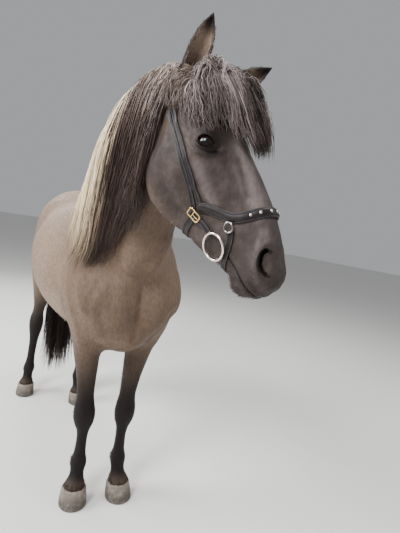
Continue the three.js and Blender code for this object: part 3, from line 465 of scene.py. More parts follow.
def off_line(points, start, end):
    """How far points are from a straight line between two places."""
    start, end = np.array(start, float), np.array(end, float)
    along = end - start
    t = np.clip(((points - start) @ along) / (along @ along), 0, 1)
    return np.linalg.norm(points - start - t[:, None] * along, axis=1)


def spline(points, u):
    """Places on the smooth curve through points, at shares u of its length from point to point."""
    points = np.asarray(points, float)
    x = np.clip(np.asarray(u, float), 0, 1) * (len(points) - 1)
    i = np.clip(np.floor(x).astype(int), 0, len(points) - 2)
    t = (x - i).reshape(-1, *[1] * (points.ndim - 1))
    before, start = points[np.maximum(i - 1, 0)], points[i]
    end, after = points[i + 1], points[np.minimum(i + 2, len(points) - 1)]
    inward = 2 * before - 5 * start + 4 * end - after
    bend = 3 * start - 3 * end + after - before
    return 0.5 * (2 * start + (end - before) * t + inward * t**2 + bend * t**3)


def even(points, count):
    """A curve through points, as places at even steps along it."""
    fine = spline(points, np.linspace(0, 1, 240))
    length = np.concatenate([[0], np.cumsum(np.linalg.norm(np.diff(fine, axis=0), axis=1))])
    at = np.linspace(0, length[-1], count)
    return np.stack([np.interp(at, length, fine[:, k]) for k in range(3)], -1)


# The skin
def torso_rings(sides, count, inset):
    chest, rump = np.linspace(-676, -600, count // 4), np.linspace(648, 734, count // 4)
    stops = np.concatenate([chest, np.linspace(-590, 640, count), rump])
    return loft(TORSO, stops, sides, LEFT, UP, TORSO_SWELLS, inset)


def neck_rings(sides, count, inset):
    stops = np.linspace(0, 124, count)
    across, up = square_frame(NECK, stops)
    return loft(NECK, stops, sides, across[:, None], up[:, None], NECK_SWELLS, inset)


def head_rings(sides, count, inset):
    poll, lips = np.linspace(-40, -10, count // 8), np.linspace(503, HEAD_LENGTH, count // 8)
    stops = np.concatenate([poll, np.linspace(-6, 500, count), lips])
    return on_head(loft(HEAD, stops, sides, LEFT, UP, HEAD_SWELLS, inset))


def leg_rings(name, sides, count, inset):
    rows = leg_table(name)
    stops = np.linspace(rows["at"][0], rows["at"][-1], count)
    return loft(rows, stops, sides, LEFT, AHEAD, LEG_SWELLS.get(name, ()), inset)


def stroked(points, strokes):
    """How far soft ridges and grooves move places out: each has two ends, a width and a height."""
    lift = np.zeros(len(points))
    for start, end, width, height in strokes:
        lift += height * bell(off_line(points, start, end), width)
    return lift


def move_out(piece, lift):
    move_to(piece, places(piece) + normals(piece) * lift[:, None])


def both(strokes):
    flip = np.array([-1, 1, 1])
    return [stroke for start, end, width, height in strokes
            for stroke in ((start, end, width, height), (flip * start, flip * end, width, height))]


NECK_CUT = 82.0  # where along the neck the head's finer skin begins


def body_skin(sizes):
    inset = sizes.coat_depth / MM
    rings = [torso_rings(sides=64, count=90, inset=inset), neck_rings(sides=48, count=60, inset=inset)]
    rings += [leg_rings(name, sides=32, count=100, inset=inset) for name in LEGS]
    forms = [new_piece("form", *tube(r)) for r in rings]
    trees = [tree_of(form) for form in forms]
    body = joined("body", forms)
    modified(body, "REMESH", mode="VOXEL", voxel_size=sizes.body_grid, use_smooth_shade=True)
    points = places(body)
    second_nearest = np.sort(np.stack([nearest(tree, points)[2] for tree in trees]), axis=0)[1]
    smoothed(body, bell(second_nearest, CREASES["body"]), rounds=110)
    smoothed(body, np.ones(len(points)), rounds=2)
    move_out(body, stroked(places(body), BODY_STROKES))
    return body


# Ridges and grooves of the body: start, end, width and height.
BODY_STROKES = both([
    ((225, -500, 900), (120, -470, 1290), 34, 6),  # shoulder blade's ridge
    ((205, -400, 1000), (120, -330, 1280), 40, -7),  # behind the shoulder
    ((226, -470, 1020), (205, -500, 850), 17, 6),  # outer edge of the upper arm
    ((205, -500, 850), (160, -500, 720), 22, 5),
    ((210, -560, 1020), (200, -590, 880), 30, 12),  # point of the shoulder
    ((160, -640, 1010), (176, -610, 850), 16, -5),
    ((70, -668, 970), (74, -650, 850), 36, 12),  # breast muscles
    ((0, -690, 1010), (0, -640, 790), 14, -9),
    ((140, -640, 880), (84, -600, 770), 20, -11),  # between breast and arm
    ((0, -640, 762), (0, -480, 742), 48, 13),  # breast between the forelegs
    ((84, -600, 748), (92, -500, 740), 20, 8),
    ((150, -440, 800), (120, -455, 640), 30, 6),  # forearm's outer muscle
    ((120, -500, 720), (100, -490, 560), 12, 3),
    ((245, -330, 900), (262, -120, 760), 60, -6),  # behind the elbow
    ((225, -370, 860), (170, -380, 770), 26, 6),  # elbow
    ((258, 160, 1120), (225, 300, 900), 50, -9),  # flank
    ((214, 245, 1240), (205, 290, 1215), 30, 9),  # point of the hip
    ((225, 330, 1180), (150, 640, 1130), 50, 5),  # croup muscle
    ((150, 520, 900), (150, 590, 700), 26, -5),  # groove behind the thigh
    ((235, 420, 930), (205, 440, 820), 40, 8),  # stifle
    ((42, -790, 1200), (28, -735, 1100), 13, -14),  # groove of the neck
    ((28, -735, 1100), (22, -690, 1010), 15, -12),
    ((84, -770, 1190), (70, -690, 1050), 26, 9),
    ((0, -800, 1170), (0, -705, 1020), 14, 6),
    ((0, 150, 1300), (0, 420, 1360), 12, -2),  # groove of the back
])


def eye_axes(side):
    """An eye's own axes: along its opening to the front corner, up across it, and out."""
    out = head_way((side * 0.93, 0.22, 0.3))
    along = head_way((0, 0.72, 0.69))
    along = unit(along - out * (along @ out))
    return along, np.cross(out, along) * side, out


def eye_centre(side):
    return on_head(EYE * [side, 1, 1])


def eye_place(points, side):
    """Places measured from an eye's centre along its own axes."""
    return (points - eye_centre(side)) @ np.stack(eye_axes(side), 1)


EYE_HALF = (20, 12.5)  # half of the opening's length and height
EYE_POINTED = 1.2  # how pointed its corners are, where 1 is an ellipse
EYE_SLANT = 1.5  # how much higher its front corner is
EYE_GAP = 0.4  # between the eyeball or its socket and the eye's radius


def ball_at(radius, centre, segments=48):
    bpy.ops.mesh.primitive_uv_sphere_add(
        segments=segments, ring_count=segments * 2 // 3, radius=radius * MM, location=to_frame(centre))
    bpy.ops.object.transform_apply(location=True, rotation=True, scale=True)
    return bpy.context.object


def eye_cutter(side):
    along, across, out = eye_axes(side)
    angle = 2 * np.pi * np.arange(40) / 40
    c, s = np.cos(angle)[:, None], np.sin(angle)[:, None]
    half_length, half_height = EYE_HALF
    rise = half_height * np.sign(s) * np.abs(s) ** EYE_POINTED + EYE_SLANT * c
    shape = along * half_length * c + across * rise
    depths = ((4, 0.85), (22, 1), (45, 1.15))
    rings = [eye_centre(side) + out * depth + shape * scale for depth, scale in depths]
    return new_piece("eye_cutter", *tube(np.stack(rings)))


# A nostril's own plane: along it from its top to its foot and across it to the front, in the head's (y, z).
NOSTRIL = np.array([478, -66])
NOSTRIL_SIZE = 0.8
NOSTRIL_ALONG = np.array([0.855, -0.519])
NOSTRIL_ACROSS = np.array([0.519, 0.855])
NOSTRIL_SLIT = [
    (-25, 8), (-33, 5), (-37, -3), (-31, -12), (-16, -17), (4, -18), (21, -14), (34, -5), (37, 4), (31, 5),
    (23, -4), (8, -10), (-6, -10.5), (-18, -7), (-22, 1),
]
NOSTRIL_MIDDLE = [(-28, 5), (-33, -2), (-26, -10), (-12, -14), (6, -14), (20, -10), (32, -1), (35, 4)]


def nostril_place(head_points):
    away = (head_points[:, 1:] - NOSTRIL) / NOSTRIL_SIZE
    return away @ NOSTRIL_ALONG, away @ NOSTRIL_ACROSS


def nostril_cutter(side):
    slit = spline([*NOSTRIL_SLIT, NOSTRIL_SLIT[0]], np.linspace(0, 1, 57)[:-1])
    rings = []
    for x, shift_y, scale in ((84, -2, 1.04), (50, 0, 1.0), (40, 6, 0.85), (26, 16, 0.5)):
        scale = scale * NOSTRIL_SIZE
        shape = scale * (slit[:, :1] * NOSTRIL_ALONG + (slit[:, 1:] + 8) * NOSTRIL_ACROSS)
        y, z = (NOSTRIL + shape - 6.4 * NOSTRIL_ACROSS).T
        rings.append(on_head(np.column_stack([np.full(len(y), side * x), y - shift_y, z])))
    return new_piece("nostril_cutter", *tube(np.stack(rings)))


# The line of the mouth in the head's (y, z).
MOUTH = [(388, -139), (400, -139), (425, -138), (455, -134), (500, -133), (560, -127)]
MOUTH_DEPTH = 8.5
MOUTH_CORNER = 390


def mouth_line(down):
    return np.interp(down, *np.array(MOUTH, float).T)


def mouth_cutter():
    rings = []
    for y, z in MOUTH:
        half = 0.2 if y < MOUTH_CORNER else 0.9
        rings.append(on_head([(-90, y, z - half), (90, y, z - half), (90, y, z + half), (-90, y, z + half)]))
    sheet = new_piece("mouth_cutter", *tube(np.stack(rings)))
    inside = new_piece("inside", *tube(head_rings(sides=64, count=60, inset=MOUTH_DEPTH)))
    return combined(sheet, inside, "DIFFERENCE")


def combined(piece, other, operation):
    """A Boolean with another piece, which is then removed."""
    modified(piece, "BOOLEAN", operation=operation, object=other, solver="MANIFOLD")
    bpy.data.objects.remove(other)
    return piece


# Ears: rows of sizes from the root to the tip, as the body's are.
EAR_LENGTH = 166
EAR = table("at w u d", [
    (-16, 19, 17, 18), (8, 21, 17, 20), (36, 26, 14, 21), (68, 28, 11, 19), (102, 24, 8, 15),
    (132, 16, 5, 10), (154, 7, 3, 5), (EAR_LENGTH, 1.2, 1, 1),
], "z")
EAR_WALL = 3.6
EAR_BOW = 10  # how far it bows towards its opening
EARS = {
    # where it stands on the head, the way it points and the way its opening faces
    "ear_right": ((-70, 20, -22), (0.21, -0.1, 0.97), (-0.1, -1, 0)),
    "ear_left": ((46, 14, -8), (0.73, -0.36, 0.58), (-0.25, -0.9, -0.3)),
}


def ear_frame(name):
    root, along, opening = EARS[name]
    up = unit(along)
    front = unit(np.array(opening) - up * (np.array(opening) @ up))
    return np.stack([np.cross(front, up), front, up], 1), on_head(root)


def ear_place(points, name):
    """Places in an ear's own axes: across, out of its opening and up it."""
    axes, root = ear_frame(name)
    return (points - root) @ axes


def ear_rings(name, inner=False):
    axes, root = ear_frame(name)
    rows = dict(EAR)
    low, high = EAR["at"][0], EAR_LENGTH
    if inner:
        low, high = 30, EAR_LENGTH - 11
        deep = 7 * fade(EAR["at"], 30, 66)
        rows["w"] = np.maximum(1.2, EAR["w"] - EAR_WALL)
        rows["d"] = np.maximum(0.4, EAR["d"] - EAR_WALL - deep)
        rows["u"] = EAR["u"] + 22
    rings = loft(rows, np.linspace(low, high, 44), 40, LEFT, np.array([0, 1.0, 0]))
    rings[..., 1] += EAR_BOW * np.sin(np.pi * rings[..., 2] / EAR_LENGTH)
    return rings @ axes.T + root


def make_ear(name):
    ear = new_piece(name + "_form", *tube(ear_rings(name)))
    return combined(ear, new_piece("cup", *tube(ear_rings(name, inner=True))), "DIFFERENCE")


# Soft ridges and grooves of the head, in its own frame: start, end, width and height.
HEAD_STROKES = [
    ((86, 196, -92), (64, 300, -104), 8, 3.6),  # facial crest
    ((82, 228, -128), (58, 312, -134), 17, -3),
    ((62, 236, -26), (46, 404, -50), 11, -3),  # beside the nasal bone
    ((33, 230, 2), (26, 400, -12), 10, 1.6),
    ((58, 132, 4), (66, 152, -8), 15, -5),  # hollow above the eye
    ((94, 152, -66), (84, 84, -84), 9, 3),  # arch behind the eye
    ((88, 90, -190), (66, 200, -236), 26, 3),  # cheek
    ((60, 262, -206), (36, 380, -182), 9, 3),  # edge of the lower jaw
    ((66, 262, -186), (48, 372, -160), 12, -3),
    ((66, 318, -96), (56, 432, -76), 8, 2.4),  # muscle to the nostril
    ((62, 330, -116), (54, 420, -108), 8, -1.8),
    ((72, 296, -122), (84, 226, -116), 3.2, 1.5),  # vein
    ((84, 226, -116), (76, 206, -60), 3.0, 1.2),
    ((72, 296, -122), (62, 292, -180), 3.2, 1.4),
    ((60, 400, -96), (66, 332, -84), 2.8, 1.1),
    ((70, 380, -40), (64, 330, -92), 2.6, 0.9),
    ((52, 412, -126), (58, 400, -146), 4, -1.6),  # folds at the corner of the mouth
    ((52, 404, -122), (60, 390, -148), 3.4, 1.2),
    ((16, 520, -92), (50, 488, -112), 8, 2.2),  # upper lip
    ((20, 500, -160), (48, 440, -158), 9, 1.8),  # lower lip
    ((0, 500, -90), (0, 528, -104), 6, -1.6),  # middle of the upper lip
]


def folded(own):
    """Places in the head's own frame, with those of its right side on its left."""
    return np.column_stack([np.abs(own[:, 0]), own[:, 1:]])


def lid_folds(points, side):
    """The folds round an eye; around is 1 on the rim of its opening."""
    a, q, c = eye_place(points, side).T
    around = np.sqrt((a / EYE_HALF[0]) ** 2 + (q / EYE_HALF[1]) ** 2)
    top, foot = smoothstep(q, -2, 4), smoothstep(-q, -2, 4)
    lift = 1.2 * bell(around, 0.14, 1.15)
    lift += top * (-2.2 * bell(around, 0.2, 1.62) + 2.4 * bell(around, 0.32, 2.1))
    lift += top * 0.7 * bell(around, 0.3, 2.9) * smoothstep(a, -16, 4)
    lift += foot * (-0.9 * bell(around, 0.2, 1.62) + 0.6 * bell(around, 0.3, 2.0))
    return np.where((c > -12) & (around < 4.5), lift, 0)


def carve_face(head):
    """Moves the skin for lids, nostrils and lips."""
    points = places(head)
    own = off_head(points)
    side, down, out = folded(own).T
    lift = stroked(folded(own), HEAD_STROKES)
    for eye in SIDES:
        lift += lid_folds(points, eye)
    a, q = nostril_place(own)
    around = np.sqrt((a / 37) ** 2 + (q / 15) ** 2)
    on_side = smoothstep(side, 18, 34)
    lift -= 7 * on_side * fade(around, 0.3, 1.05)
    lift += 4.2 * on_side * bell(around, 0.3, 1.35) * (0.75 - 0.35 * np.clip(q / 15, -1, 1))
    above = out - mouth_line(down)
    lips = smoothstep(down, 396, 440)
    lift += lips * 1.8 * bell(above, 6, 9)
    lift += lips * 1.8 * bell(above, 6, -9)
    lift -= lips * 1.6 * bell(above, 3)
    move_out(head, lift)


def head_skin(sizes):
    inset = sizes.coat_depth / MM
    rings = [head_rings(sides=96, count=130, inset=inset * 0.6), neck_rings(sides=72, count=90, inset=inset)]
    forms = [new_piece("form", *tube(r)) for r in rings]
    forms += [ball_at(EYE_RADIUS + LID, eye_centre(side)) for side in SIDES]
    trees = [tree_of(form) for form in forms]
    head = joined("head_skin", forms)
    modified(head, "REMESH", mode="VOXEL", voxel_size=sizes.head_grid, use_smooth_shade=True)
    points = places(head)
    to_head, to_neck, to_right_eye, to_left_eye = [nearest(tree, points)[2] for tree in trees]
    throat = bell(np.maximum(to_head, to_neck), CREASES["throat"])
    lids = bell(np.maximum(to_head, np.minimum(to_right_eye, to_left_eye)), CREASES["lids"])
    smoothed(head, np.maximum(throat, lids), rounds=30)
    smoothed(head, np.ones(len(points)), rounds=2)
    carve_face(head)
    for name in EARS:
        ear = make_ear(name)
        trees = tree_of(head), tree_of(ear)
        combined(head, ear, "UNION")
        points = places(head)
        crease = np.max([nearest(tree, points)[2] for tree in trees], axis=0)
        smoothed(head, bell(crease, CREASES["ears"]), rounds=12)
    for side in SIDES:
        socket = ball_at(EYE_RADIUS + EYE_GAP, eye_centre(side))
        for cutter in (socket, eye_cutter(side), nostril_cutter(side)):
            combined(head, cutter, "DIFFERENCE")
    return combined(head, mouth_cutter(), "DIFFERENCE")


def neck_plane():
    """Where the neck is cut, and the way along it there."""
    centre, after = centre_line(NECK, np.array([NECK_CUT, NECK_CUT + 1]))
    return centre, unit(after - centre)


def cut_at_neck(piece, keep_front):
    centre, along = neck_plane()
    edited(piece, lambda bm: bmesh.ops.bisect_plane(
        bm, geom=bm.verts[:] + bm.edges[:] + bm.faces[:], plane_co=to_frame(centre), plane_no=along,
        clear_inner=keep_front, clear_outer=not keep_front))


def bridged(piece):
    """Joins the two open rims that a cut left."""
    def bridge(bm):
        bmesh.ops.bridge_loops(bm, edges=[edge for edge in bm.edges if edge.is_boundary])
        bmesh.ops.triangulate(bm, faces=[face for face in bm.faces if len(face.verts) > 4])

    edited(piece, bridge)


def make_skin(sizes):
    body, head = body_skin(sizes), head_skin(sizes)
    cut_at_neck(body, keep_front=False)
    cut_at_neck(head, keep_front=True)
    skin = joined("skin", [body, head])
    bridged(skin)
    centre, along = neck_plane()
    away = places(skin) - centre
    in_neck = np.linalg.norm(away, axis=1) < 300
    smoothed(skin, bell(away @ along, CREASES["cut"]) * in_neck, rounds=12)
    return shaded_smooth(skin)


# Materials
class Link:
    """A node's output. An expression on it adds Math nodes."""

    def __init__(self, paint, socket):
        self.paint = paint
        self.socket = socket

    def __add__(self, other):
        return self.paint.maths("ADD", self, other)

    def __sub__(self, other):
        return self.paint.maths("SUBTRACT", self, other)

    def __mul__(self, other):
        return self.paint.maths("MULTIPLY", self, other)


class Paint:
    """A material and the nodes that make it."""

    def __init__(self, name):
        self.material = bpy.data.materials.new(name)
        self.material.use_nodes = True
        self.tree = self.material.node_tree
        self.tree.nodes.clear()
        self.place = self.node("ShaderNodeTexCoord", output="Object")

    def node(self, kind, settings=(), sockets=(), output=0):
        """Adds a node: its settings first, then the values or links of its sockets."""
        made = self.tree.nodes.new(kind)
        for key, value in dict(settings).items():
            if key == "stops":
                self.set_stops(made.color_ramp, value)
            else:
                setattr(made, key, value)
        for key, value in dict(sockets).items():
            if isinstance(value, Link):
                self.tree.links.new(value.socket, made.inputs[key])
            else:
                made.inputs[key].default_value = value
        return Link(self, made.outputs[output])

    @staticmethod
    def set_stops(ramp, stops):
        while len(ramp.elements) < len(stops):
            ramp.elements.new(0.5)
        for element, (place, colour) in zip(ramp.elements, stops):
            element.position = place
            element.color = (*colour, 1)

    def maths(self, operation, *values):
        return self.node("ShaderNodeMath", {"operation": operation}, dict(enumerate(values)))

    def mix(self, share, first, second):
        """A blend of two colours."""
        sockets = {0: share, 6: self.colour(first), 7: self.colour(second)}
        return self.node("ShaderNodeMix", {"data_type": "RGBA"}, sockets, output=2)

    @staticmethod
    def colour(value):
        return value if isinstance(value, Link) else (*value[:3], 1)

    def between(self, value, low, high, start=0.0, end=1.0):
        """Turns smoothly from start to end as a value goes from low to high."""
        sockets = {"Value": value, "From Min": low, "From Max": high, "To Min": start, "To Max": end}
        return self.node("ShaderNodeMapRange", {"interpolation_type": "SMOOTHSTEP"}, sockets)

    def stretched(self, x, y, z):
        """Object coordinates scaled along each axis."""
        return self.node("ShaderNodeMapping", (), {"Vector": self.place, "Scale": (x, y, z)})

    def noise(self, scale, detail, rough, vector=None):
        sockets = {"Vector": vector or self.place, "Scale": scale, "Detail": detail, "Roughness": rough}
        return self.node("ShaderNodeTexNoise", (), sockets)

    def ramp(self, share, stops):
        return self.node("ShaderNodeValToRGB", {"stops": stops}, {0: share})

    def marked(self, name):
        """The number that a piece's points carry under a name."""
        return self.node("ShaderNodeAttribute", {"attribute_name": name}, output="Fac")

    def bump(self, height, distance, strength, normal=None):
        sockets = {"Height": height, "Distance": distance, "Strength": strength}
        if normal:
            sockets["Normal"] = normal
        return self.node("ShaderNodeBump", (), sockets)

    def finish(self, **sockets):
        """Ends in a Principled shader. Its sockets are named with underscores for spaces."""
        named = {key.replace("_", " "): value for key, value in sockets.items()}
        shader = self.node("ShaderNodeBsdfPrincipled", (), named)
        out = self.tree.nodes.new("ShaderNodeOutputMaterial")
        self.tree.links.new(shader.socket, out.inputs["Surface"])
        return self.material


def coat_paint():
    """Short hair of a mouse dun, its tones told by the skin's own marks, which carry painted light and
    painted shade as well as the coat's own colours.
    """
    paint = Paint("coat")
    dark, face, pale, wet = [paint.marked(name) for name in ("dark", "face", "pale", "wet")]
    patches = paint.noise(3.2, 4, 0.6)
    blotches = paint.noise(14, 4, 0.65)
    flow = paint.noise(60, 3, 0.6, paint.stretched(2.2, 0.7, 1.0))
    body = paint.mix(paint.between(patches, 0.35, 0.7), (0.118, 0.079, 0.055), (0.17, 0.117, 0.084))
    head = paint.mix(paint.between(blotches, 0.35, 0.68), (0.032, 0.0235, 0.021), (0.068, 0.051, 0.046))
    skin = paint.mix(face, body, head)
    # Towards these colours where the pale mark says: paler hair, and also painted light and painted
    # highlights.
    light = paint.mix(face, (0.34, 0.25, 0.185), (0.25, 0.205, 0.2))
    skin = paint.mix(pale, skin, light)
    # Near black where the dark mark says: the dark legs, stripe, ear tips and face, and also painted shade.
    skin = paint.mix(dark, skin, (0.008, 0.0062, 0.006))
    skin = paint.mix(paint.between(flow, 0.3, 0.75, 0.0, 0.3), skin, (0.02, 0.014, 0.011))
    skin = paint.mix(wet, skin, (0.012, 0.009, 0.009))
    fine = paint.noise(420, 2, 0.7, paint.stretched(1.0, 0.35, 0.5))
    normal = paint.bump(fine, 0.0012, 0.6)
    normal = paint.bump(flow, 0.002, 0.5, normal)
    rough = paint.between(flow, 0.2, 0.8, 0.5, 0.7) - wet * 0.25
    return paint.finish(Base_Color=skin, Roughness=rough, Normal=normal, Specular_IOR_Level=0.13)


def trunk_marks(points, face):
    """How dark and how pale the body and the legs are, with painted shade under the neck, along its groove
    and in the crease between breast and arm, and painted light on the side of the body and on the top of the
    back.
    """
    x, y, z = points.T
    hind = smoothstep(y, 100, 200)
    legs = fade(z, 430, 770 + 50 * hind) ** 0.75 * (1 - 0.3 * fade(z, 70, 112))
    back = bell(x, 15) * (z > 1150) * (y > -330)
    # Painted shade on the underside of the neck, behind the mane.
    neck = 0.26 * smoothstep(-y, 650, 780) * smoothstep(z, 1090, 1200) * (1 - face)
    # Painted shade along the groove of the neck.
    throat = bell(off_line(points, (30, -780, 1190), (8, -690, 1010)), 15)
    # Painted shade in the crease between breast and arm.
    breast = bell(off_line(np.abs(points) * [1, -1, 1], (140, -640, 880), (84, -600, 770)), 26)
    dark = [legs, 0.75 * back, neck + 0.22 * throat + 0.13 * breast]
    belly = 0.42 * fade(z, 720, 900) * smoothstep(y, -420, -250) * fade(y, 300, 420) * (z > 600)
    # Painted light: the side of the body over the ribs and the top of the back before the croup are lightened
    # as if sunlit.
    barrel_painted_light = 0.34 * smoothstep(y, -420, -200) * smoothstep(z, 640, 860) * (1 - 0.6 * hind)
    loin_painted_light = 0.25 * bell(y, 260, 300) * smoothstep(z, 1180, 1330)
    return dark, belly + barrel_painted_light + loin_painted_light


def face_marks(own):
    """How dark, pale and bare the face is at places in the head's own frame, with painted highlights on the
    facial crest, beside the nasal bone and round the nostrils, and painted shade inside the nostrils.
    """
    side, down, out = folded(own).T
    from_eye = np.linalg.norm(folded(own) - EYE - [8, 8, 6], axis=1)
    a, q = nostril_place(own)
    flat = np.stack([a, q, 0 * a], 1)
    middle = zip(NOSTRIL_MIDDLE, NOSTRIL_MIDDLE[1:])
    from_slit = np.min([off_line(flat, (*start, 0), (*end, 0)) for start, end in middle], axis=0)
    from_nostril = np.sqrt((a / 40) ** 2 + ((q + 9) / 12) ** 2)
    # Painted shade inside each nostril's opening, along its middle.
    slit = fade(from_slit, 3.5, 7.5) * smoothstep(side, 20, 32) * (down > 400)
    # Painted highlight round the back and top of each nostril's rim.
    nostril_rim_highlight = bell(from_nostril, 0.45, 1.9) * smoothstep(-q, -6, 8) * (side > 24) * (down > 400)
    streak = bell(off_line(folded(own), (48, 250, -14), (46, 330, -34)), 7)
    # Painted highlights on the facial crest and along the nasal bone.
    cheek_crest_highlight = bell(off_line(own, (-84, 216, -86), (-60, 300, -104)), 13)
    nasal_bone_highlight = bell(off_line(folded(own), (28, 190, -2), (38, 370, -28)), 21)
    nose = smoothstep(down, 330, 440) * smoothstep(out, -110, -50)
    lips = bell(out - mouth_line(down), 5) * smoothstep(down, 385, 410)
    dark = [0.8 * fade(from_eye, 22, 42), 0.42 * smoothstep(down, 390, 470), slit, 0.4 * streak]
    pale = 0.4 * cheek_crest_highlight + 0.52 * nasal_bone_highlight + 0.32 * nostril_rim_highlight + 0.1 * nose
    return dark, pale, np.maximum(lips * 0.8, fade(from_eye, 17, 24))


def on_ear(points, name, half_width, half_depth, low, high):
    """How high up an ear places are, whether they are on it, and how near to its edge, from 0 to 1."""
    across, out, up = ear_place(points, name).T
    inside = (np.abs(across) < half_width) & (np.abs(out) < half_depth) & (up > low) & (up < high)
    return up, inside, np.abs(across) / np.interp(up, EAR["at"], EAR["w"])


def skin_marks(points):
    """How dark, face-coloured, pale and bare the skin is at places on it. The dark and pale marks also carry
    painted shade and painted light.
    """
    own = off_head(points)
    face = smoothstep(own[:, 1], -60, 140) * smoothstep(own[:, 2], -330, -190)
    trunk_dark, trunk_pale = trunk_marks(points, face)
    face_dark, face_pale, wet = face_marks(own)
    dark = np.maximum.reduce([*trunk_dark, *face_dark])
    pale = trunk_pale + face_pale
    for name in EARS:
        up, inside, edge = on_ear(points, name, half_width=40, half_depth=45, low=2, high=175)
        rim, tip = smoothstep(edge, 0.8, 0.97), smoothstep(up, 108, 150)
        pale = np.where(inside, 0.6 * (1 - rim) * (1 - tip) * smoothstep(up, 25, 95), pale)
        dark = np.where(inside, np.maximum(0.95 * tip, 0.85 * rim), dark)
    return {"dark": dark, "face": face, "pale": pale * (1 - dark), "wet": wet}


def painted(piece, material):
    piece.data.materials.clear()
    piece.data.materials.append(material)
    return piece


def fitted(piece, slot, *nodes):
    """Tells what a finished piece rides on and which nodes it stands for. Its slot is not used."""
    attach(piece, "root")
    if nodes:
        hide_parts(*nodes)
    return piece


# Hair
def pick(lines, u):
    """Places at shares u (n, r) along lines (n, m, 3)."""
    x = np.clip(u, 0, 1) * (lines.shape[1] - 1)
    i = np.clip(np.floor(x).astype(int), 0, lines.shape[1] - 2)
    row = np.arange(len(lines))[:, None]
    t = (x - i)[..., None]
    return lines[row, i] * (1 - t) + lines[row, i + 1] * t


HAIR_SIDES = 3
PATCH = 0.003  # the side of a hair's patch on its map


def hair_faces(rings):
    """One hair's faces, as corners, where each face starts in them, and their places on the hair's patch."""
    n = HAIR_SIDES
    corners, starts, patch = [], [], []
    for r in range(rings - 1):
        for k in range(n):
            starts.append(len(corners))
            corners += [r * n + k, r * n + (k + 1) % n, r * n + n + (k + 1) % n, r * n + n + k]
            patch += [(k, r), (k + 1, r), (k + 1, r + 1), (k, r + 1)]
    tip = rings * n
    for k in range(n):
        starts.append(len(corners))
        corners += [tip - n + k, tip - n + (k + 1) % n, tip]
        patch += [(k, rings - 1), (k + 1, rings - 1), (k + 0.5, rings)]
    starts.append(len(corners))
    corners += [2, 1, 0]
    patch += [(1, 0), (0.5, 0.1), (0, 0)]
    return corners, starts, patch


def along_of(lines):
    """The ways that lines (n, r, 3) run."""
    return unit(np.gradient(lines, axis=1))


def hair_rings(lines, radii):
    """Rings of points round lines (n, r + 1, 3), tapered to each line's last place."""
    along = along_of(lines)
    side = np.random.default_rng(SEEDS["strands"]).normal(size=(len(lines), 1, 3))
    side = unit(side - along * (along * side).sum(-1, keepdims=True))
    other = np.cross(along, side)
    u = np.linspace(0, 1, lines.shape[1])[:-1]
    taper = (0.55 + 0.45 * smoothstep(u, 0, 0.12)) * (1 - 0.75 * smoothstep(u, 0.55, 1.05))
    angle = 2 * np.pi * np.arange(HAIR_SIDES) / HAIR_SIDES
    radius = (radii[:, None] * taper)[:, :, None, None]
    ring = side[:, :-1, None] * np.cos(angle)[:, None] + other[:, :-1, None] * np.sin(angle)[:, None]
    return lines[:, :-1, None] + radius * ring


def strand_mesh(name, lines, radii, marks, spots):
    """Closed hairs round lines (n, r + 1, 3) in the horse's frame, with marks for each place on a line."""
    count, rings = len(lines), lines.shape[1] - 1
    around = hair_rings(lines, radii).reshape(count, rings * HAIR_SIDES, 3)
    points = np.concatenate([around, lines[:, -1:]], axis=1)
    corners, starts, patch = hair_faces(rings)
    each = np.arange(count)[:, None]
    loops = (np.array(corners) + each * points.shape[1]).ravel()
    begin = (np.array(starts) + each * len(corners)).ravel()
    mesh = bpy.data.meshes.new(name)
    mesh.vertices.add(count * points.shape[1])
    mesh.loops.add(len(loops))
    mesh.polygons.add(len(begin))
    mesh.vertices.foreach_set("co", to_frame(points.reshape(-1, 3)).astype(np.float32).ravel())
    mesh.loops.foreach_set("vertex_index", loops.astype(np.int32))
    mesh.polygons.foreach_set("loop_start", begin.astype(np.int32))
    mesh.update(calc_edges=True)
    mesh.validate()
    patch = np.array(patch) / [HAIR_SIDES, rings] * PATCH
    layer = mesh.uv_layers.new(name="OFBake")
    layer.data.foreach_set("uv", (spots[:, None] + patch).astype(np.float32).ravel())
    mesh.polygons.foreach_set("use_smooth", np.ones(len(mesh.polygons), bool))
    piece = bpy.data.objects.new(name, mesh)
    bpy.context.scene.collection.objects.link(piece)
    for mark_name, values in marks.items():
        values = np.broadcast_to(values, lines.shape[:2])
        values = np.concatenate([np.repeat(values[:, :-1], HAIR_SIDES, axis=1), values[:, -1:]], axis=1)
        mark(piece, mark_name, values.ravel())
    return piece


def strand_pieces(name, groups, lines, radii, marks, spots):
    """Hairs in several pieces, numbered from 1."""
    marks = {key: np.broadcast_to(values, lines.shape[:2]) for key, values in marks.items()}
    return [
        strand_mesh(f"{name}_{k + 1}", lines[group], radii[group], {key: marks[key][group] for key in marks},
                    spots[group])
        for k, group in enumerate(groups)]


def on_map(across, down):
    """Places on the hairs' map, a little inside its edge."""
    return np.stack([0.02 + 0.95 * across, 0.02 + 0.95 * down], -1)


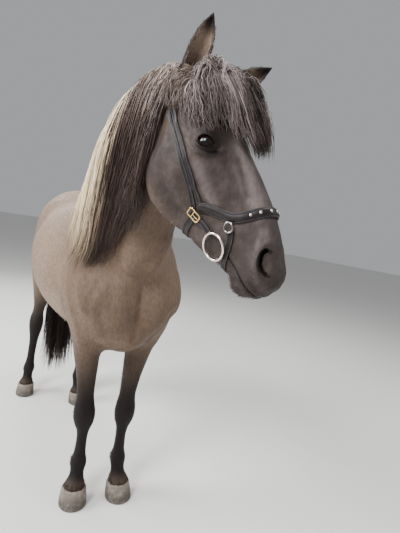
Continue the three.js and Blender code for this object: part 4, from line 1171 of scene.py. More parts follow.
def hairs_of(locks, ways, per_lock, rng, spread, wave, waves, frizz, ragged):
    """Hairs round the middle lines (n, r, 3) of locks: more apart at the root, drawn together at the tip."""
    count, steps = locks.shape[:2]
    u = np.linspace(0, 1, steps)
    of = np.repeat(np.arange(count), per_lock)
    across = unit(np.cross(along_of(locks), ways))
    angle, far = rng.uniform(0, 2 * np.pi, len(of)), np.sqrt(rng.uniform(0, 1, len(of)))
    width = spread * (0.75 + 0.25 * np.sin(np.pi * np.minimum(1, u * 1.6)))
    width = width * (1 - 0.62 * smoothstep(u, 0.5, 1))
    a = (far * np.cos(angle))[:, None] * width
    b = (far * np.sin(angle))[:, None] * width * 0.45
    phase = rng.uniform(0, 1, count)[of][:, None] + rng.normal(0, 0.09, (len(of), 1))
    often = waves * rng.uniform(0.6, 1.35, count)[of][:, None]
    swing = wave * rng.uniform(0.3, 1.5, count)[of][:, None]
    swing = swing * np.sin(2 * np.pi * (often * u + phase)) * smoothstep(u, 0.04, 0.25)
    own = rng.uniform(0, 2 * np.pi, (4, len(of), 1))
    loose = frizz * u * np.exp(rng.normal(0, 0.5, (len(of), 1)))
    a = a + swing + loose * np.sin(own[0] + 5 * u)
    b = b + loose * 0.6 * np.sin(own[1] + 4 * u) + 0.35 * swing
    cut = 1 - ragged * rng.uniform(0, 1, len(of)) ** 1.5
    lines = locks[of] + across[of] * a[..., None] + ways[of] * b[..., None]
    return pick(lines, u * cut[:, None]), of


def over_skin(lines, tree, least):
    """Pushes places out that lie deeper than `least` above the skin."""
    flat = lines.reshape(-1, 3)
    spots, ways, _ = nearest(tree, flat)
    high = ((flat - spots) * ways).sum(-1)
    low = np.broadcast_to(least, lines.shape[:-1]).ravel()
    return (flat + ways * np.maximum(low - high, 0)[:, None]).reshape(lines.shape)


def layered(lines, tree, layer, floor):
    """Sinks locks towards the skin, those with 0 in layer down to it. Also gives the ways out of it."""
    flat = lines.reshape(-1, 3)
    spots, ways, _ = nearest(tree, flat)
    ground = spots + ways * floor
    share = np.repeat(layer, lines.shape[1])[:, None]
    return (ground + (flat - ground) * share).reshape(lines.shape), ways.reshape(lines.shape)


def drifted(lines, ways, rng, most):
    """Locks that each lean to one side or the other, more and more to their tips."""
    count, steps = lines.shape[:2]
    drift = rng.normal(0, most, (count, 1)) * np.linspace(0, 1, steps)
    return lines + unit(np.cross(along_of(lines), ways)) * drift[..., None]


def crest(s):
    """A place on the neck's upper edge."""
    at = np.array([float(s)])
    _, up = square_frame(NECK, at)
    return centre_line(NECK, at)[0] + up[0] * (column(NECK, "u", s) - 6)


# The mane's outermost lines, from the withers to behind the ears: where each leaves the crest, and then its
# places.
MANE_GUIDES = [
    (6, [(-50, -330, 1318), (-110, -330, 1300), (-156, -330, 1245), (-186, -330, 1185)]),
    (26, [(-30, -405, 1400), (-110, -418, 1395), (-178, -416, 1330), (-213, -396, 1230), (-225, -372, 1120)]),
    (48, [(-60, -520, 1500), (-145, -548, 1490), (-203, -554, 1400), (-227, -516, 1290), (-232, -450, 1150),
          (-232, -408, 1035)]),
    (70, [(-100, -680, 1615), (-180, -718, 1585), (-226, -722, 1495), (-238, -680, 1400), (-230, -612, 1290),
          (-218, -530, 1160), (-218, -466, 985)]),
    (88, [(-140, -820, 1650), (-195, -850, 1595), (-214, -830, 1510), (-210, -770, 1420), (-197, -690, 1320),
          (-184, -600, 1180), (-184, -535, 985)]),
    (103, [(-140, -945, 1652), (-180, -970, 1590), (-194, -950, 1500), (-186, -895, 1420), (-172, -805, 1340),
           (-164, -695, 1225), (-164, -575, 1005)]),
    (114, [(-142, -1012, 1624), (-176, -1036, 1560), (-194, -1026, 1490), (-194, -990, 1410),
           (-180, -915, 1320), (-160, -800, 1210), (-150, -680, 1080)]),
    (120, [(-146, -1046, 1616), (-180, -1076, 1566), (-202, -1082, 1500), (-212, -1078, 1440),
           (-214, -1060, 1380), (-202, -1015, 1300), (-168, -930, 1200)]),
]
MANE_STEPS = 14  # places along each of the mane's hairs


def mane_locks(rng, tree, count):
    guides = np.stack([even([crest(s), *line], 40) for s, line in MANE_GUIDES])
    t = (np.arange(count) + rng.uniform(0, 1, count)) / count
    lines = spline(guides, t)
    layer = np.sqrt(rng.uniform(0.02, 1, count))
    length = 1 - 0.44 * rng.uniform(0, 1, count) ** 1.5 + 0.05 * layer - 0.07 * smoothstep(t, 0.7, 1)
    length = length * (0.4 + 0.6 * smoothstep(t, 0, 0.16))
    lines = pick(lines, np.linspace(0, 1, MANE_STEPS) * length[:, None])
    lines, ways = layered(lines, tree, layer * (0.35 + 0.65 * smoothstep(t, 0, 0.1)), floor=7)
    return drifted(lines, ways, rng, most=15), ways, t, layer


def make_mane(tree):
    """The mane, cream behind and dark in front, from t = 0 at the withers to 1 behind the ears."""
    rng = np.random.default_rng(SEEDS["mane"])
    locks, ways, t, layer = mane_locks(rng, tree, count=430)
    lines, of = hairs_of(
        locks, ways, per_lock=20, rng=rng, spread=17, wave=4.2, waves=4.2, frizz=8, ragged=0.42)
    lines = over_skin(lines, tree, rng.uniform(2, 7, len(lines))[:, None])
    pale = fade(t[of] + rng.normal(0, 0.045, len(of)), 0.44, 0.58)
    pale = pale * smoothstep(layer[of], 0.02, 0.3)
    own = rng.uniform(0, 1, len(of))[:, None]
    lock_own = rng.uniform(0, 1, len(t))[of][:, None]
    u = np.linspace(0, 1, MANE_STEPS)
    near_crest = fade(u, 0.1, 0.55)
    dark = 0.1 + 0.15 * own**2 + 0.09 * lock_own + 0.12 * (lock_own > 0.7) * near_crest
    dark = dark + 0.52 * near_crest * (0.4 + 0.6 * own)
    light = 0.95 + 0.1 * own + 0.08 * lock_own - 0.6 * smoothstep(u, 0.68, 1) * (0.35 + 0.65 * lock_own)
    tone = dark + (light - dark) * pale[:, None]
    marks = {"tone": tone, "warm": 1 - 0.75 * near_crest * (1 - pale[:, None])}
    spots = on_map(t[of], layer[of]) + rng.uniform(-0.01, 0.01, (len(of), 2))
    radii = rng.uniform(0.7, 1.35, len(of))
    groups = np.array_split(np.argsort(t[of], kind="stable"), 4)
    return strand_pieces("mane_hair", groups, lines, radii, marks, spots)


# The forelock's outermost lines in the head's own frame, from its right to its left.
FORELOCK_GUIDES = [
    [(-20, 4, 14), (-44, 22, 16), (-66, 38, 2), (-84, 60, -20), (-100, 88, -40), (-108, 124, -50),
     (-112, 168, -52)],
    [(-13, 0, 15), (-34, 8, 42), (-64, 32, 42), (-84, 78, 34), (-94, 125, 26), (-99, 170, 12),
     (-99, 216, -4)],
    [(0, 0, 15), (0, 5, 46), (0, 30, 66), (2, 80, 64), (4, 130, 54), (7, 185, 38), (10, 246, 20)],
    [(13, 0, 15), (34, 5, 52), (64, 26, 72), (92, 72, 74), (106, 128, 62), (110, 182, 44), (109, 232, 24)],
    [(22, 2, 12), (54, 8, 46), (94, 34, 62), (124, 80, 66), (138, 130, 54), (136, 178, 30), (124, 210, 2)],
]


def make_forelock(tree):
    rng = np.random.default_rng(SEEDS["forelock"])
    count, steps = 210, 17
    guides = np.stack([even(on_head(line), 30) for line in FORELOCK_GUIDES])
    t = ((np.arange(count) + rng.uniform(0, 1, count)) / count) ** 0.8
    layer = rng.uniform(0.05, 1, count) ** 0.6
    length = 1.02 - 0.42 * rng.uniform(0, 1, count) ** 1.3 * (1 - 0.5 * smoothstep(t, 0.5, 0.9))
    lines = pick(spline(guides, t), np.linspace(0, 1, steps) * np.minimum(length, 1)[:, None])
    lines, ways = layered(lines, tree, layer, floor=6)
    locks = drifted(lines, ways, rng, most=12)
    lines, of = hairs_of(
        locks, ways, per_lock=20, rng=rng, spread=14, wave=3.0, waves=6.5, frizz=10, ragged=0.54)
    lines = over_skin(lines, tree, rng.uniform(2, 6, len(lines))[:, None])
    own, lock_own = rng.uniform(0, 1, len(of))[:, None], rng.uniform(0, 1, count)[of][:, None]
    u = np.linspace(0, 1, steps)
    tone = 0.44 + 0.24 * own * lock_own + 0.28 * lock_own**2 - 0.18 * smoothstep(u, 0.35, 1)
    # Painted highlight on the top of the forelock's middle strands.
    tone = tone + 0.12 * bell(t[of], 0.22, 0.5)[:, None] * fade(u, 0.4, 0.9)
    dark_streak = bell(t[of], 0.09, 0.65)[:, None] * smoothstep(u, 0.25, 0.5)
    tone = tone * (1 - 0.72 * dark_streak) + 0.1 * smoothstep(t[of], 0.88, 1)[:, None]
    marks = {"tone": tone, "warm": 0.12 + 0.5 * smoothstep(t[of], 0.85, 1)[:, None]}
    spots = on_map(t[of], layer[of]) + rng.uniform(-0.01, 0.01, (len(of), 2))
    radii = rng.uniform(0.6, 1.15, len(of))
    return strand_pieces("forelock_hair", np.array_split(np.arange(len(of)), 3), lines, radii, marks, spots)


# Hair beside the near ear, over the crownpiece and the end of the browband, in the head's own frame.
TEMPLE_GUIDES = [
    [(-22, -24, 8), (-56, -24, -18), (-86, -8, -46), (-98, 18, -70), (-101, 48, -86)],
    [(-46, -4, 6), (-78, 0, -22), (-96, 16, -50), (-102, 42, -72), (-103, 74, -86)],
    [(-44, 38, 16), (-74, 42, -8), (-90, 52, -36), (-97, 76, -58), (-99, 108, -72)],
]


def make_temple(tree):
    rng = np.random.default_rng(SEEDS["temple"])
    count, steps = 54, 10
    guides = np.stack([even(on_head(line), 24) for line in TEMPLE_GUIDES])
    t = (np.arange(count) + rng.uniform(0, 1, count)) / count
    length = 1.02 - 0.45 * rng.uniform(0, 1, count)
    lines = pick(spline(guides, t), np.linspace(0, 1, steps) * np.minimum(length, 1)[:, None])
    locks, ways = layered(lines, tree, rng.uniform(0.3, 1, count), floor=7)
    lines, of = hairs_of(
        locks, ways, per_lock=16, rng=rng, spread=11, wave=2.0, waves=3.5, frizz=7, ragged=0.45)
    lines = over_skin(lines, tree, rng.uniform(5, 9, len(lines))[:, None])
    own = rng.uniform(0, 1, len(of))[:, None]
    tone = 0.3 + 0.34 * own + 0.14 * rng.uniform(0, 1, count)[of][:, None] - 0.1 * np.linspace(0, 1, steps)
    marks = {"tone": tone, "warm": 0.35}
    return strand_mesh("temple_hair", lines, rng.uniform(0.6, 1.1, len(of)), marks, on_map(t[of], own[:, 0]))


# The middle of the tail's root.
DOCK = [(0, 690, 1150), (2, 742, 1128), (6, 768, 1050), (10, 772, 950), (12, 768, 860)]


def make_tail(tree):
    rng = np.random.default_rng(SEEDS["tail"])
    count, steps = 150, 12
    flatter = [1, 0.8, 0]  # wider across than from front to back
    t = 0.08 + 0.9 * (np.arange(count) + rng.uniform(0, 1, count)) / count
    angle = rng.uniform(0, 2 * np.pi, count)
    out = np.stack([np.cos(angle), np.sin(angle), 0 * angle], -1)
    start = spline(DOCK, t) + out * 14
    wide = (138 - 60 * t)[:, None]
    foot = np.array([16, 745, 0]) + out * wide * flatter * rng.uniform(0.25, 1, (count, 1))
    foot[:, 2] = 62 + 330 * rng.uniform(0, 1, count) ** 1.4
    u = np.linspace(0, 1, steps)[None, :, None]
    lines = start[:, None] * (1 - u) + foot[:, None] * u
    belly = np.sin(np.pi * np.minimum(1, u * 1.2)) * 26
    lines = lines + out[:, None] * belly * flatter + np.array([0, 0.3, 0]) * belly
    ways = np.broadcast_to(out[:, None], lines.shape)
    lines, of = hairs_of(
        lines, ways, per_lock=22, rng=rng, spread=12, wave=6, waves=2.2, frizz=12, ragged=0.3)
    lines = over_skin(lines, tree, 3.0)
    own = rng.uniform(0, 1, len(of))[:, None]
    marks = {"tone": 0.02 + 0.1 * own**2 + 0.05 * np.linspace(0, 1, steps), "warm": 1.0}
    spots = on_map(t[of], angle[of] / (2 * np.pi)) + rng.uniform(-0.01, 0.01, (len(of), 2))
    radii = rng.uniform(0.9, 1.6, len(of))
    return strand_pieces("tail_hair", np.array_split(np.arange(len(of)), 2), lines, radii, marks, spots)


# Short tufts: where the coat breaks the horse's outline.
def sown(piece, weight, count, rng):
    """Roots spread over the skin as a weight for each face and its area ask, and the ways out there."""
    faces = piece.data.polygons
    centres, ways, areas = np.empty(len(faces) * 3), np.empty(len(faces) * 3), np.empty(len(faces))
    faces.foreach_get("center", centres)
    faces.foreach_get("normal", ways)
    faces.foreach_get("area", areas)
    centres, ways = to_horse(centres.reshape(-1, 3)), ways.reshape(-1, 3)
    share = weight(centres, ways) * areas
    chosen = rng.choice(len(faces), count, p=share / share.sum())
    size = np.sqrt(areas[chosen])[:, None] / MM
    jitter = rng.normal(0, 0.4, (count, 3)) * size
    jitter = jitter - ways[chosen] * (jitter * ways[chosen]).sum(-1, keepdims=True)
    return centres[chosen] + jitter, ways[chosen]


def tufts(roots, ways, flow, length, lift, rng):
    """Short curved hairs: each starts along the way out and lies down along the flow."""
    flow = unit(flow - ways * (flow * ways).sum(-1, keepdims=True) * 0.9)
    flow = unit(flow + rng.normal(0, 0.14, flow.shape))
    u = np.linspace(0, 1, 5)[None, :, None]
    long = (length * rng.uniform(0.6, 1.15, len(roots)))[:, None, None]
    rise = ways[:, None] * lift * u * (1.2 - 0.6 * u)
    return roots[:, None] - ways[:, None] + long * (flow[:, None] * u + rise)


def near(points, place, reach):
    return bell(np.linalg.norm(points - np.array(place, float), axis=-1), reach)


LEAST_WEIGHT = 1e-9


def chin_weight(points, ways):
    _, down, out = off_head(points).T
    under = smoothstep(-(ways @ head_way((0, 0, 1))), 0.1, 0.7)
    lips = bell(down, 26, 505) * (out < -60) * (down > 300) * (ways[:, 2] < 0.1)
    chin = bell(down, 40, 470) * (out < -140)
    jaw = 0.16 * (down > 60) * (down < 450)
    return under**2 * (1.6 * chin + jaw) * (down > 40) + 0.25 * lips + LEAST_WEIGHT


def ear_weight(points, ways):
    total = np.full(len(points), LEAST_WEIGHT)
    for name in EARS:
        _, inside, edge = on_ear(points, name, half_width=36, half_depth=40, low=12, high=136)
        open_side = (ways @ ear_frame(name)[0])[:, 1] > -0.2
        total += inside * ((0.15 + smoothstep(edge, 0.6, 0.9)) * open_side + 0.04)
    return total


def leg_weight(points, ways):
    """Long hair behind the fetlocks and a fringe on the hooves."""
    total = np.full(len(points), LEAST_WEIGHT)
    z = points[:, 2]
    behind = smoothstep(ways[:, 1], 0.1, 0.8)
    for name in LEGS:
        rows = leg_table(name)
        centre = np.stack([column(rows, key, z) for key in "xy"], -1)
        near_leg = np.linalg.norm(points[:, :2] - centre, axis=1) < 75
        feather = behind * bell(z, 36, FETLOCK)
        total += near_leg * ((z < FRINGE_TOP) * 1.3 + feather + 0.12 * behind * (z < 420))
    return total


FRINGE_TOP = 84
FETLOCK = 150


def trunk_weight(points, ways):
    _, y, z = points.T
    under = smoothstep(-ways[:, 2], 0.3, 0.9)
    body = (y > -560) & (y < 420) & (z > 560) & (z < 800)
    elbow = near(np.abs(points) * [1, -1, 1], (130, -385, 740), 70)
    throat = near(points, (-60, -930, 1330), 110)
    thigh = smoothstep(ways[:, 1], 0.3, 0.9) * (y > 500) * (z > 560) * (z < 1000)
    return under * body + 1.4 * elbow + 0.7 * throat + 0.6 * thigh + LEAST_WEIGHT


def spots_of(points, low, high):
    """Places of roots on a map of the skin unrolled about its length, in a strip of the map of their own."""
    own = off_head(points)
    if low < 0.5:
        along, angle = own[:, 1] / 620 % 1, np.arctan2(own[:, 0], own[:, 2] + 90)
    else:
        along, angle = points[:, 2] / 1500 % 1, np.arctan2(points[:, 0], points[:, 1])
    return np.stack([low + (high - low) * along, 0.02 + 0.95 * (angle / (2 * np.pi) % 1)], -1)


def ear_flow(roots):
    (right, root), (left, _) = ear_frame("ear_right"), ear_frame("ear_left")
    on_right = np.linalg.norm(roots - root, axis=1) < 170
    return np.where(on_right[:, None], right[:, 2], left[:, 2])


def fetlock_length(roots, ways):
    feather = bell(roots[:, 2], 40, FETLOCK) * smoothstep(ways[:, 1], 0.1, 0.8)
    return np.where(roots[:, 2] < FRINGE_TOP, 14, 8 + 24 * feather)


TUFTS = [
    # weight, how many, flow, length, lift, tone, warmth, radius, strip of the map
    (chin_weight, 2600, head_way((0, -0.5, -0.6)), 8, 0.9, 0.3, 0.5, 0.3, (0.01, 0.2)),
    (ear_weight, 1900, ear_flow, 9, 0.55, 0.5, 0.5, 0.3, (0.22, 0.48)),
    (leg_weight, 2300, np.array([0, 0.12, -1.0]), fetlock_length, 0.45, 0.12, 1.0, 0.6, (0.5, 0.72)),
    (trunk_weight, 1500, np.array([0, 0.9, -0.5]), 14, 0.5, 0.5, 1.0, 0.5, (0.74, 0.97)),
]


def make_tufts(skin):
    rng = np.random.default_rng(SEEDS["tufts"])
    lists = lines, radii, tones, warms, spots = [], [], [], [], []
    for weight, count, flow, length, lift, tone, warm, radius, strip in TUFTS:
        roots, ways = sown(skin, weight, count, rng)
        flow = np.broadcast_to(flow(roots) if callable(flow) else flow, roots.shape)
        long = length(roots, ways) if callable(length) else np.full(count, float(length))
        lines.append(tufts(roots, ways, flow, long, lift, rng))
        radii.append(radius * rng.uniform(0.8, 1.2, count))
        # Each tuft takes the skin's tone marks at its root, with the painted light and painted shade in them.
        here = skin_marks(roots)
        own = tone + rng.uniform(-0.05, 0.12, count) + 0.25 * here["pale"]
        tones.append(own * (1 - 0.9 * here["dark"]))
        warms.append(np.full(count, warm))
        spots.append(spots_of(roots, *strip))
    lines, radii, tones, warms, spots = [np.concatenate(parts) for parts in lists]
    return strand_mesh("coat_tufts", lines, radii, {"tone": tones[:, None], "warm": warms[:, None]}, spots)


def lash_lines(side, rng, count=110):
    along, across, out = eye_axes(side)
    angle = np.radians(np.linspace(22, 158, count) + rng.normal(0, 1, count))
    a = EYE_HALF[0] * np.cos(angle) * 1.02
    q = EYE_HALF[1] * np.sin(angle) ** EYE_POINTED + EYE_SLANT * np.cos(angle) + rng.uniform(0, 1.5, count)
    c = np.sqrt((EYE_RADIUS + LID) ** 2 - a**2 - q**2) - 1
    root = eye_centre(side) + a[:, None] * along + q[:, None] * across + c[:, None] * out
    u = np.linspace(0, 1, 7)[None, :, None]
    long = (9 + 10 * np.sin(angle) * rng.uniform(0.6, 1, count))[:, None, None]
    lean = (0.5 * np.cos(angle) + 0.25)[:, None, None]
    return root[:, None] + long * (out * u + across * (0.3 * u - 0.5 * u**2) + along * lean * u)


def make_lashes():
    rng = np.random.default_rng(SEEDS["lashes"])
    lines = np.concatenate([lash_lines(side, rng) for side in SIDES])
    radii = np.full(len(lines), 0.42)
    return strand_mesh("lashes", lines, radii, {"tone": 0.0, "warm": 0.5}, spots_of(lines[:, 0], 0.01, 0.2))


def hair_paint():
    paint = Paint("hair")
    tone, warm = paint.marked("tone"), paint.marked("warm")
    brown = paint.ramp(tone, [
        (0.0, (0.010, 0.0075, 0.007)), (0.2, (0.034, 0.021, 0.018)), (0.45, (0.12, 0.08, 0.062)),
        (0.7, (0.42, 0.32, 0.22)), (1.0, (0.93, 0.79, 0.55)),
    ])
    grey = paint.ramp(tone, [
        (0.0, (0.012, 0.0095, 0.0095)), (0.25, (0.046, 0.034, 0.032)), (0.5, (0.13, 0.1, 0.096)),
        (0.75, (0.29, 0.245, 0.25)), (1.0, (0.54, 0.48, 0.49)),
    ])
    return paint.finish(Base_Color=paint.mix(warm, grey, brown), Roughness=0.45, Specular_IOR_Level=0.14)


# Eyes, hooves and bridle
IRIS_RADIUS = 14
PUPIL_HALF = (9, 5.4)  # half of its length and height


def make_eyeball(side, name):
    out = eye_axes(side)[2]
    ball = ball_at(EYE_RADIUS - EYE_GAP, eye_centre(side), segments=96)
    ball.name = name
    a, q, c = eye_place(places(ball), side).T
    far = np.hypot(a, q)
    bulge = 1.5 * fade(far, 5, 15) * (c > 0)
    move_to(ball, places(ball) + out * bulge[:, None])
    mark(ball, "iris", fade(far, IRIS_RADIUS - 1.6, IRIS_RADIUS) * (c > 0))
    mark(ball, "pupil", fade(np.hypot(a / PUPIL_HALF[0], q / PUPIL_HALF[1]), 0.85, 1.1) * (c > 0))
    return shaded_smooth(ball)


def eye_paint():
    paint = Paint("eye")
    grain = paint.noise(900, 3, 0.6)
    iris = paint.mix(paint.between(grain, 0.3, 0.7), (0.006, 0.0032, 0.0022), (0.014, 0.007, 0.0045))
    colour = paint.mix(paint.marked("iris"), (0.02, 0.013, 0.011), iris)
    colour = paint.mix(paint.marked("pupil"), colour, (0.002, 0.002, 0.0035))
    return paint.finish(
        Base_Color=colour, Roughness=0.2, Coat_Weight=0.12, Coat_Roughness=0.1, Specular_IOR_Level=0.35)


# Each pair's hooves: the sections, how many degrees they turn out, and how far off the leg's line they are.
HOOVES = {
    "fore": (table("at y w u d nu nd", [
        (0, -20, 58, 58, 44, 2, 2.6), (34, -9, 54, 53, 44, 2, 2.5), (58, -1, 50.5, 47, 45, 2, 2.2),
        (HOOF_TOP, 0, 47, 43, 43, 2, 2),
    ], "z"), 9, -26),
    "hind": (table("at y w u d nu nd", [
        (0, -20, 54, 58, 44, 2, 2.6), (34, -9, 50, 53, 44, 2, 2.5), (58, -1, 47, 47, 45, 2, 2.2),
        (HOOF_TOP, 0, 44, 41, 43, 2, 2),
    ], "z"), 12, -24),
}
HOOF_SIDES = 72
HOOF_EDGE = 8  # radius of the sole's rounded edge


def make_hoof(name):
    axis = LEGS[name][1]
    rows, turn, back = HOOVES[name[:4]]
    stops = np.array([0, 0.6, 1.5, 3, 5, *np.linspace(7, HOOF_TOP, 44)])
    rings = loft(rows, stops, HOOF_SIDES, LEFT, AHEAD)
    edge = HOOF_EDGE - np.sqrt(HOOF_EDGE**2 - (HOOF_EDGE - np.minimum(stops, HOOF_EDGE)) ** 2)
    angle = np.linspace(0, 2 * np.pi, HOOF_SIDES, endpoint=False)
    ripple = 0.55 * np.sin(stops[:, None] * 0.78 + 0.5 * np.sin(2 * angle))
    ripple = ripple * smoothstep(stops, 6, 14)[:, None] * fade(stops, 50, 58)[:, None]
    ripple = ripple + 1.6 * bell(stops, 4, 61)[:, None]
    away = unit(rings - rings.mean(1, keepdims=True))
    rings = rings + away * (ripple - edge[:, None])[..., None] * [1, 1, 0]
    turn = math.radians(math.copysign(turn, column(axis, "x", 0)))
    start = [column(axis, "x", HOOF_TOP), column(axis, "y", HOOF_TOP) + back, 0]
    return shaded_smooth(new_piece(name + "_horn", *tube(rings @ about_z(turn).T + np.array(start, float))))


def hoof_paint():
    paint = Paint("hoof")
    height = paint.node("ShaderNodeSeparateXYZ", (), {0: paint.place}, output="Z")
    lines = paint.noise(90, 3, 0.6, paint.stretched(2.5, 2.5, 0.15))
    dust = paint.noise(38, 5, 0.7)
    horn = paint.mix(paint.between(lines, 0.35, 0.7), (0.052, 0.045, 0.039), (0.1, 0.086, 0.073))
    share = paint.between(height + dust * 0.03, 0.03, 0.082, 0.05, 0.7)
    colour = paint.mix(share, horn, (0.23, 0.195, 0.155))
    colour = paint.mix(paint.between(dust, 0.5, 0.68, 0.0, 0.35), colour, (0.36, 0.32, 0.27))
    normal = paint.bump(lines, 0.002, 0.4)
    return paint.finish(Base_Color=colour, Roughness=0.75, Normal=normal, Specular_IOR_Level=0.3)


# A strap's outline, across it and out from the skin.
def outline_of(half):
    return np.array(half + [(-u, v) for u, v in reversed(half)])


def flat_outline(width, thick):
    h = width / 2
    foot = [(h - 0.6, 0), (h, 0.25 * thick), (h, 0.75 * thick)]
    return outline_of(foot + [(h - 0.7, thick), (h - 1.8, thick), (h - 2.5, 0.8 * thick)])


def padded_outline(width):
    h = width / 2
    foot = [(h - 1, 0), (h, 1.2), (h - 0.2, 2.9), (h - 1.5, 3.7), (h - 2.8, 3.0)]
    return outline_of(foot + [(h - 3.5, 4.5), (h - 5.8, 6.1), (h - 8.8, 6.7)])


def evened(values, rounds):
    for _ in range(rounds):
        values[1:-1] = (values[:-2] + 2 * values[1:-1] + values[2:]) / 4
    return values


def strap(name, tree, path, outline, lift, count):
    """A strap that lies on the head along a path given in its frame, its edges marked for a painted sheen."""
    spots, ways, _ = nearest(tree, even(on_head(path), count))
    spots, ways = evened(spots, 3), unit(evened(ways, 6))
    along = unit(np.gradient(spots, axis=0))
    across = unit(np.cross(ways, along))
    out = np.cross(along, across)
    rise = out[:, None] * (outline[None, :, 1:] + lift)
    rings = spots[:, None] + across[:, None] * outline[None, :, :1] + rise
    piece = new_piece(name, *tube(rings))
    rim = np.abs(outline[:, 0]) > np.abs(outline[:, 0]).max() - SHEEN_EDGE_WIDTH
    mark(piece, "edge", np.concatenate([np.tile(rim.astype(float), count), [0, 0]]))
    return shaded_smooth(piece)


# Painted sheen: a strap's edges are painted paler over this width.
SHEEN_EDGE_WIDTH = 2.2  # how wide a strap's paler edge is


def mirrored(path):
    return [(-x, y, z) for x, y, z in path]


def whole(half, middle):
    return [*half, middle, *reversed(mirrored(half))]


HANDS = (("right", list), ("left", mirrored))

# The straps' paths on the head's right side, in its own frame.
NOSE = [
    (-62, 291, -138), (-60, 301, -126), (-58, 318, -112), (-57, 341, -95), (-56, 358, -81), (-53, 368, -62),
    (-41, 376, -34), (-20, 380, -18),
]
NOSE_MIDDLE = (0, 381, -12)
JAW = [(-60, 291, -150), (-54, 296, -170), (-40, 300, -200), (-14, 303, -228)]
CROWN = [(-82, 46, -76), (-77, 24, -69), (-72, 2, -58), (-54, -20, -36), (-26, -30, -16)]
BROW = [(-80, 40, -64), (-77, 38, -44), (-70, 40, -22), (-52, 44, 4), (-24, 47, 18)]
FRONT = [
    (-83, 56, -72), (-90, 102, -81), (-95, 155, -91), (-92, 204, -102), (-80, 245, -116), (-68, 273, -127),
    (-64, 284, -133),
]
REAR = [
    (-83, 54, -85), (-89, 100, -94), (-93, 153, -104), (-90, 201, -115), (-77, 242, -130), (-65, 270, -144),
    (-58, 290, -156),
]
LOW = [(-58, 296, -157), (-57, 306, -157), (-53, 325, -152), (-50, 344, -148), (-50, 356, -147)]
CHIN = [(-55, 378, -100), (-55, 384, -104), (-50, 406, -126), (-36, 427, -158), (-14, 434, -180)]

# The straps over the whole head: name, path, outline, lift and places along them. Those at each side follow.
WHOLE_STRAPS = {
    "noseband": ("noseband_strap", NOSE, NOSE_MIDDLE, padded_outline(23), 2, 120),
    "jaw_strap": ("jaw_band", JAW, (0, 303, -234), flat_outline(18, 3), 1.6, 80),
    "chin_strap": ("chin_band", CHIN, (0, 436, -184), flat_outline(15, 3), 1.6, 80),
    "crownpiece": ("crown_band", CROWN, (0, -32, -10), flat_outline(23, 4), 2, 80),
    "browband": ("brow_band", BROW, (0, 48, 18), flat_outline(15, 4), 1.6, 80),
}
SIDE_STRAPS = {
    "noseband_cheek_": ("noseband_hanger_", FRONT, flat_outline(11.5, 3.5), 1.6, 60),
    "cheek_strap_": ("cheekpiece_", REAR, flat_outline(11.5, 3.5), 1.8, 60),
    "bit_strap_": ("bit_billet_", LOW, flat_outline(13, 3.2), 5.5, 30),
}


def laid(tree, at, towards, lift):
    """A place on the head and the axes of something that lies there: across, along and out."""
    spots, ways, _ = nearest(tree, on_head([at, towards]))
    along = unit(spots[1] - spots[0])
    out = unit(ways[0] - along * (ways[0] @ along))
    return np.stack([np.cross(along, out), along, out], 1), spots[0] + out * lift


def bar(tree, spot, lift, path, radius, closed=True, sides=12):
    """A round bar along a path in the plane of something laid on the head at a spot."""
    axes, place = laid(tree, *spot, lift)
    path = np.array(path, float)
    if closed:
        along = unit(np.roll(path, -1, 0) - np.roll(path, 1, 0))
    else:
        along = unit(np.gradient(path, axis=0))
    aside = np.stack([along[:, 1], -along[:, 0], np.zeros(len(path))], -1)
    middle = np.column_stack([path, np.zeros(len(path))])
    angle = 2 * np.pi * np.arange(sides) / sides
    around = aside[:, None] * np.cos(angle)[:, None] + UP * np.sin(angle)[:, None]
    rings = middle[:, None] + radius * around
    return new_piece("bar", *tube(rings @ axes.T + place, closed))


def circle(radius, count=72):
    angle = 2 * np.pi * np.arange(count) / count
    return np.stack([radius * np.cos(angle), radius * np.sin(angle)], -1)


def oblong(half_width, half_length, corner, count=64):
    """A rectangle with round corners."""
    angle = 2 * np.pi * (np.arange(count) + 0.5) / count
    c, s = np.cos(angle), np.sin(angle)
    x = np.sign(c) * (half_width - corner) + corner * c
    y = np.sign(s) * (half_length - corner) + corner * s
    return np.stack([x, y], -1)


def make_straps(tree):
    pieces = {}
    for node, (name, half, middle, *sizes) in WHOLE_STRAPS.items():
        pieces[node] = strap(name, tree, whole(half, middle), *sizes)
    for word, turned in HANDS:
        for node, (name, path, *sizes) in SIDE_STRAPS.items():
            pieces[node + word] = strap(name + word, tree, turned(path), *sizes)
    return pieces


def make_buckle(tree, spot):
    outer = bar(tree, spot, 9.4, oblong(9, 16.4, 4.5), 1.9)
    cross_bar = bar(tree, spot, 9.4, [(x, -3) for x in np.linspace(-9, 9, 8)], 1.3, closed=False)
    bent = [(0.4 * math.sin(y / 4), y) for y in np.linspace(-4, 16, 12)]
    prong = bar(tree, spot, 10.8, bent, 1.2, closed=False)
    return joined("buckle", [outer, cross_bar, prong])


def make_metal(tree):
    """The rings and buckles, each at a place on the head and turned towards a second one."""
    pieces = {}
    for word, turned in HANDS:
        bit, small = turned([(-56, 383, -158), (-50, 402, -150)]), turned([(-55, 371, -97), (-52, 384, -106)])
        pieces["bit_ring_" + word] = bar(tree, bit, 9, circle(31), 2.9, sides=16)
        pieces["small_ring_" + word] = bar(tree, small, 9.5, circle(11, 40), 2.2)
        pieces["buckle_" + word] = make_buckle(tree, turned([(-58, 297, -157), (-54, 318, -153)]))
    for node, piece in pieces.items():
        piece.name = node.replace("ring", "hoop").replace("buckle", "brass_buckle")
        shaded_smooth(piece)
    return pieces


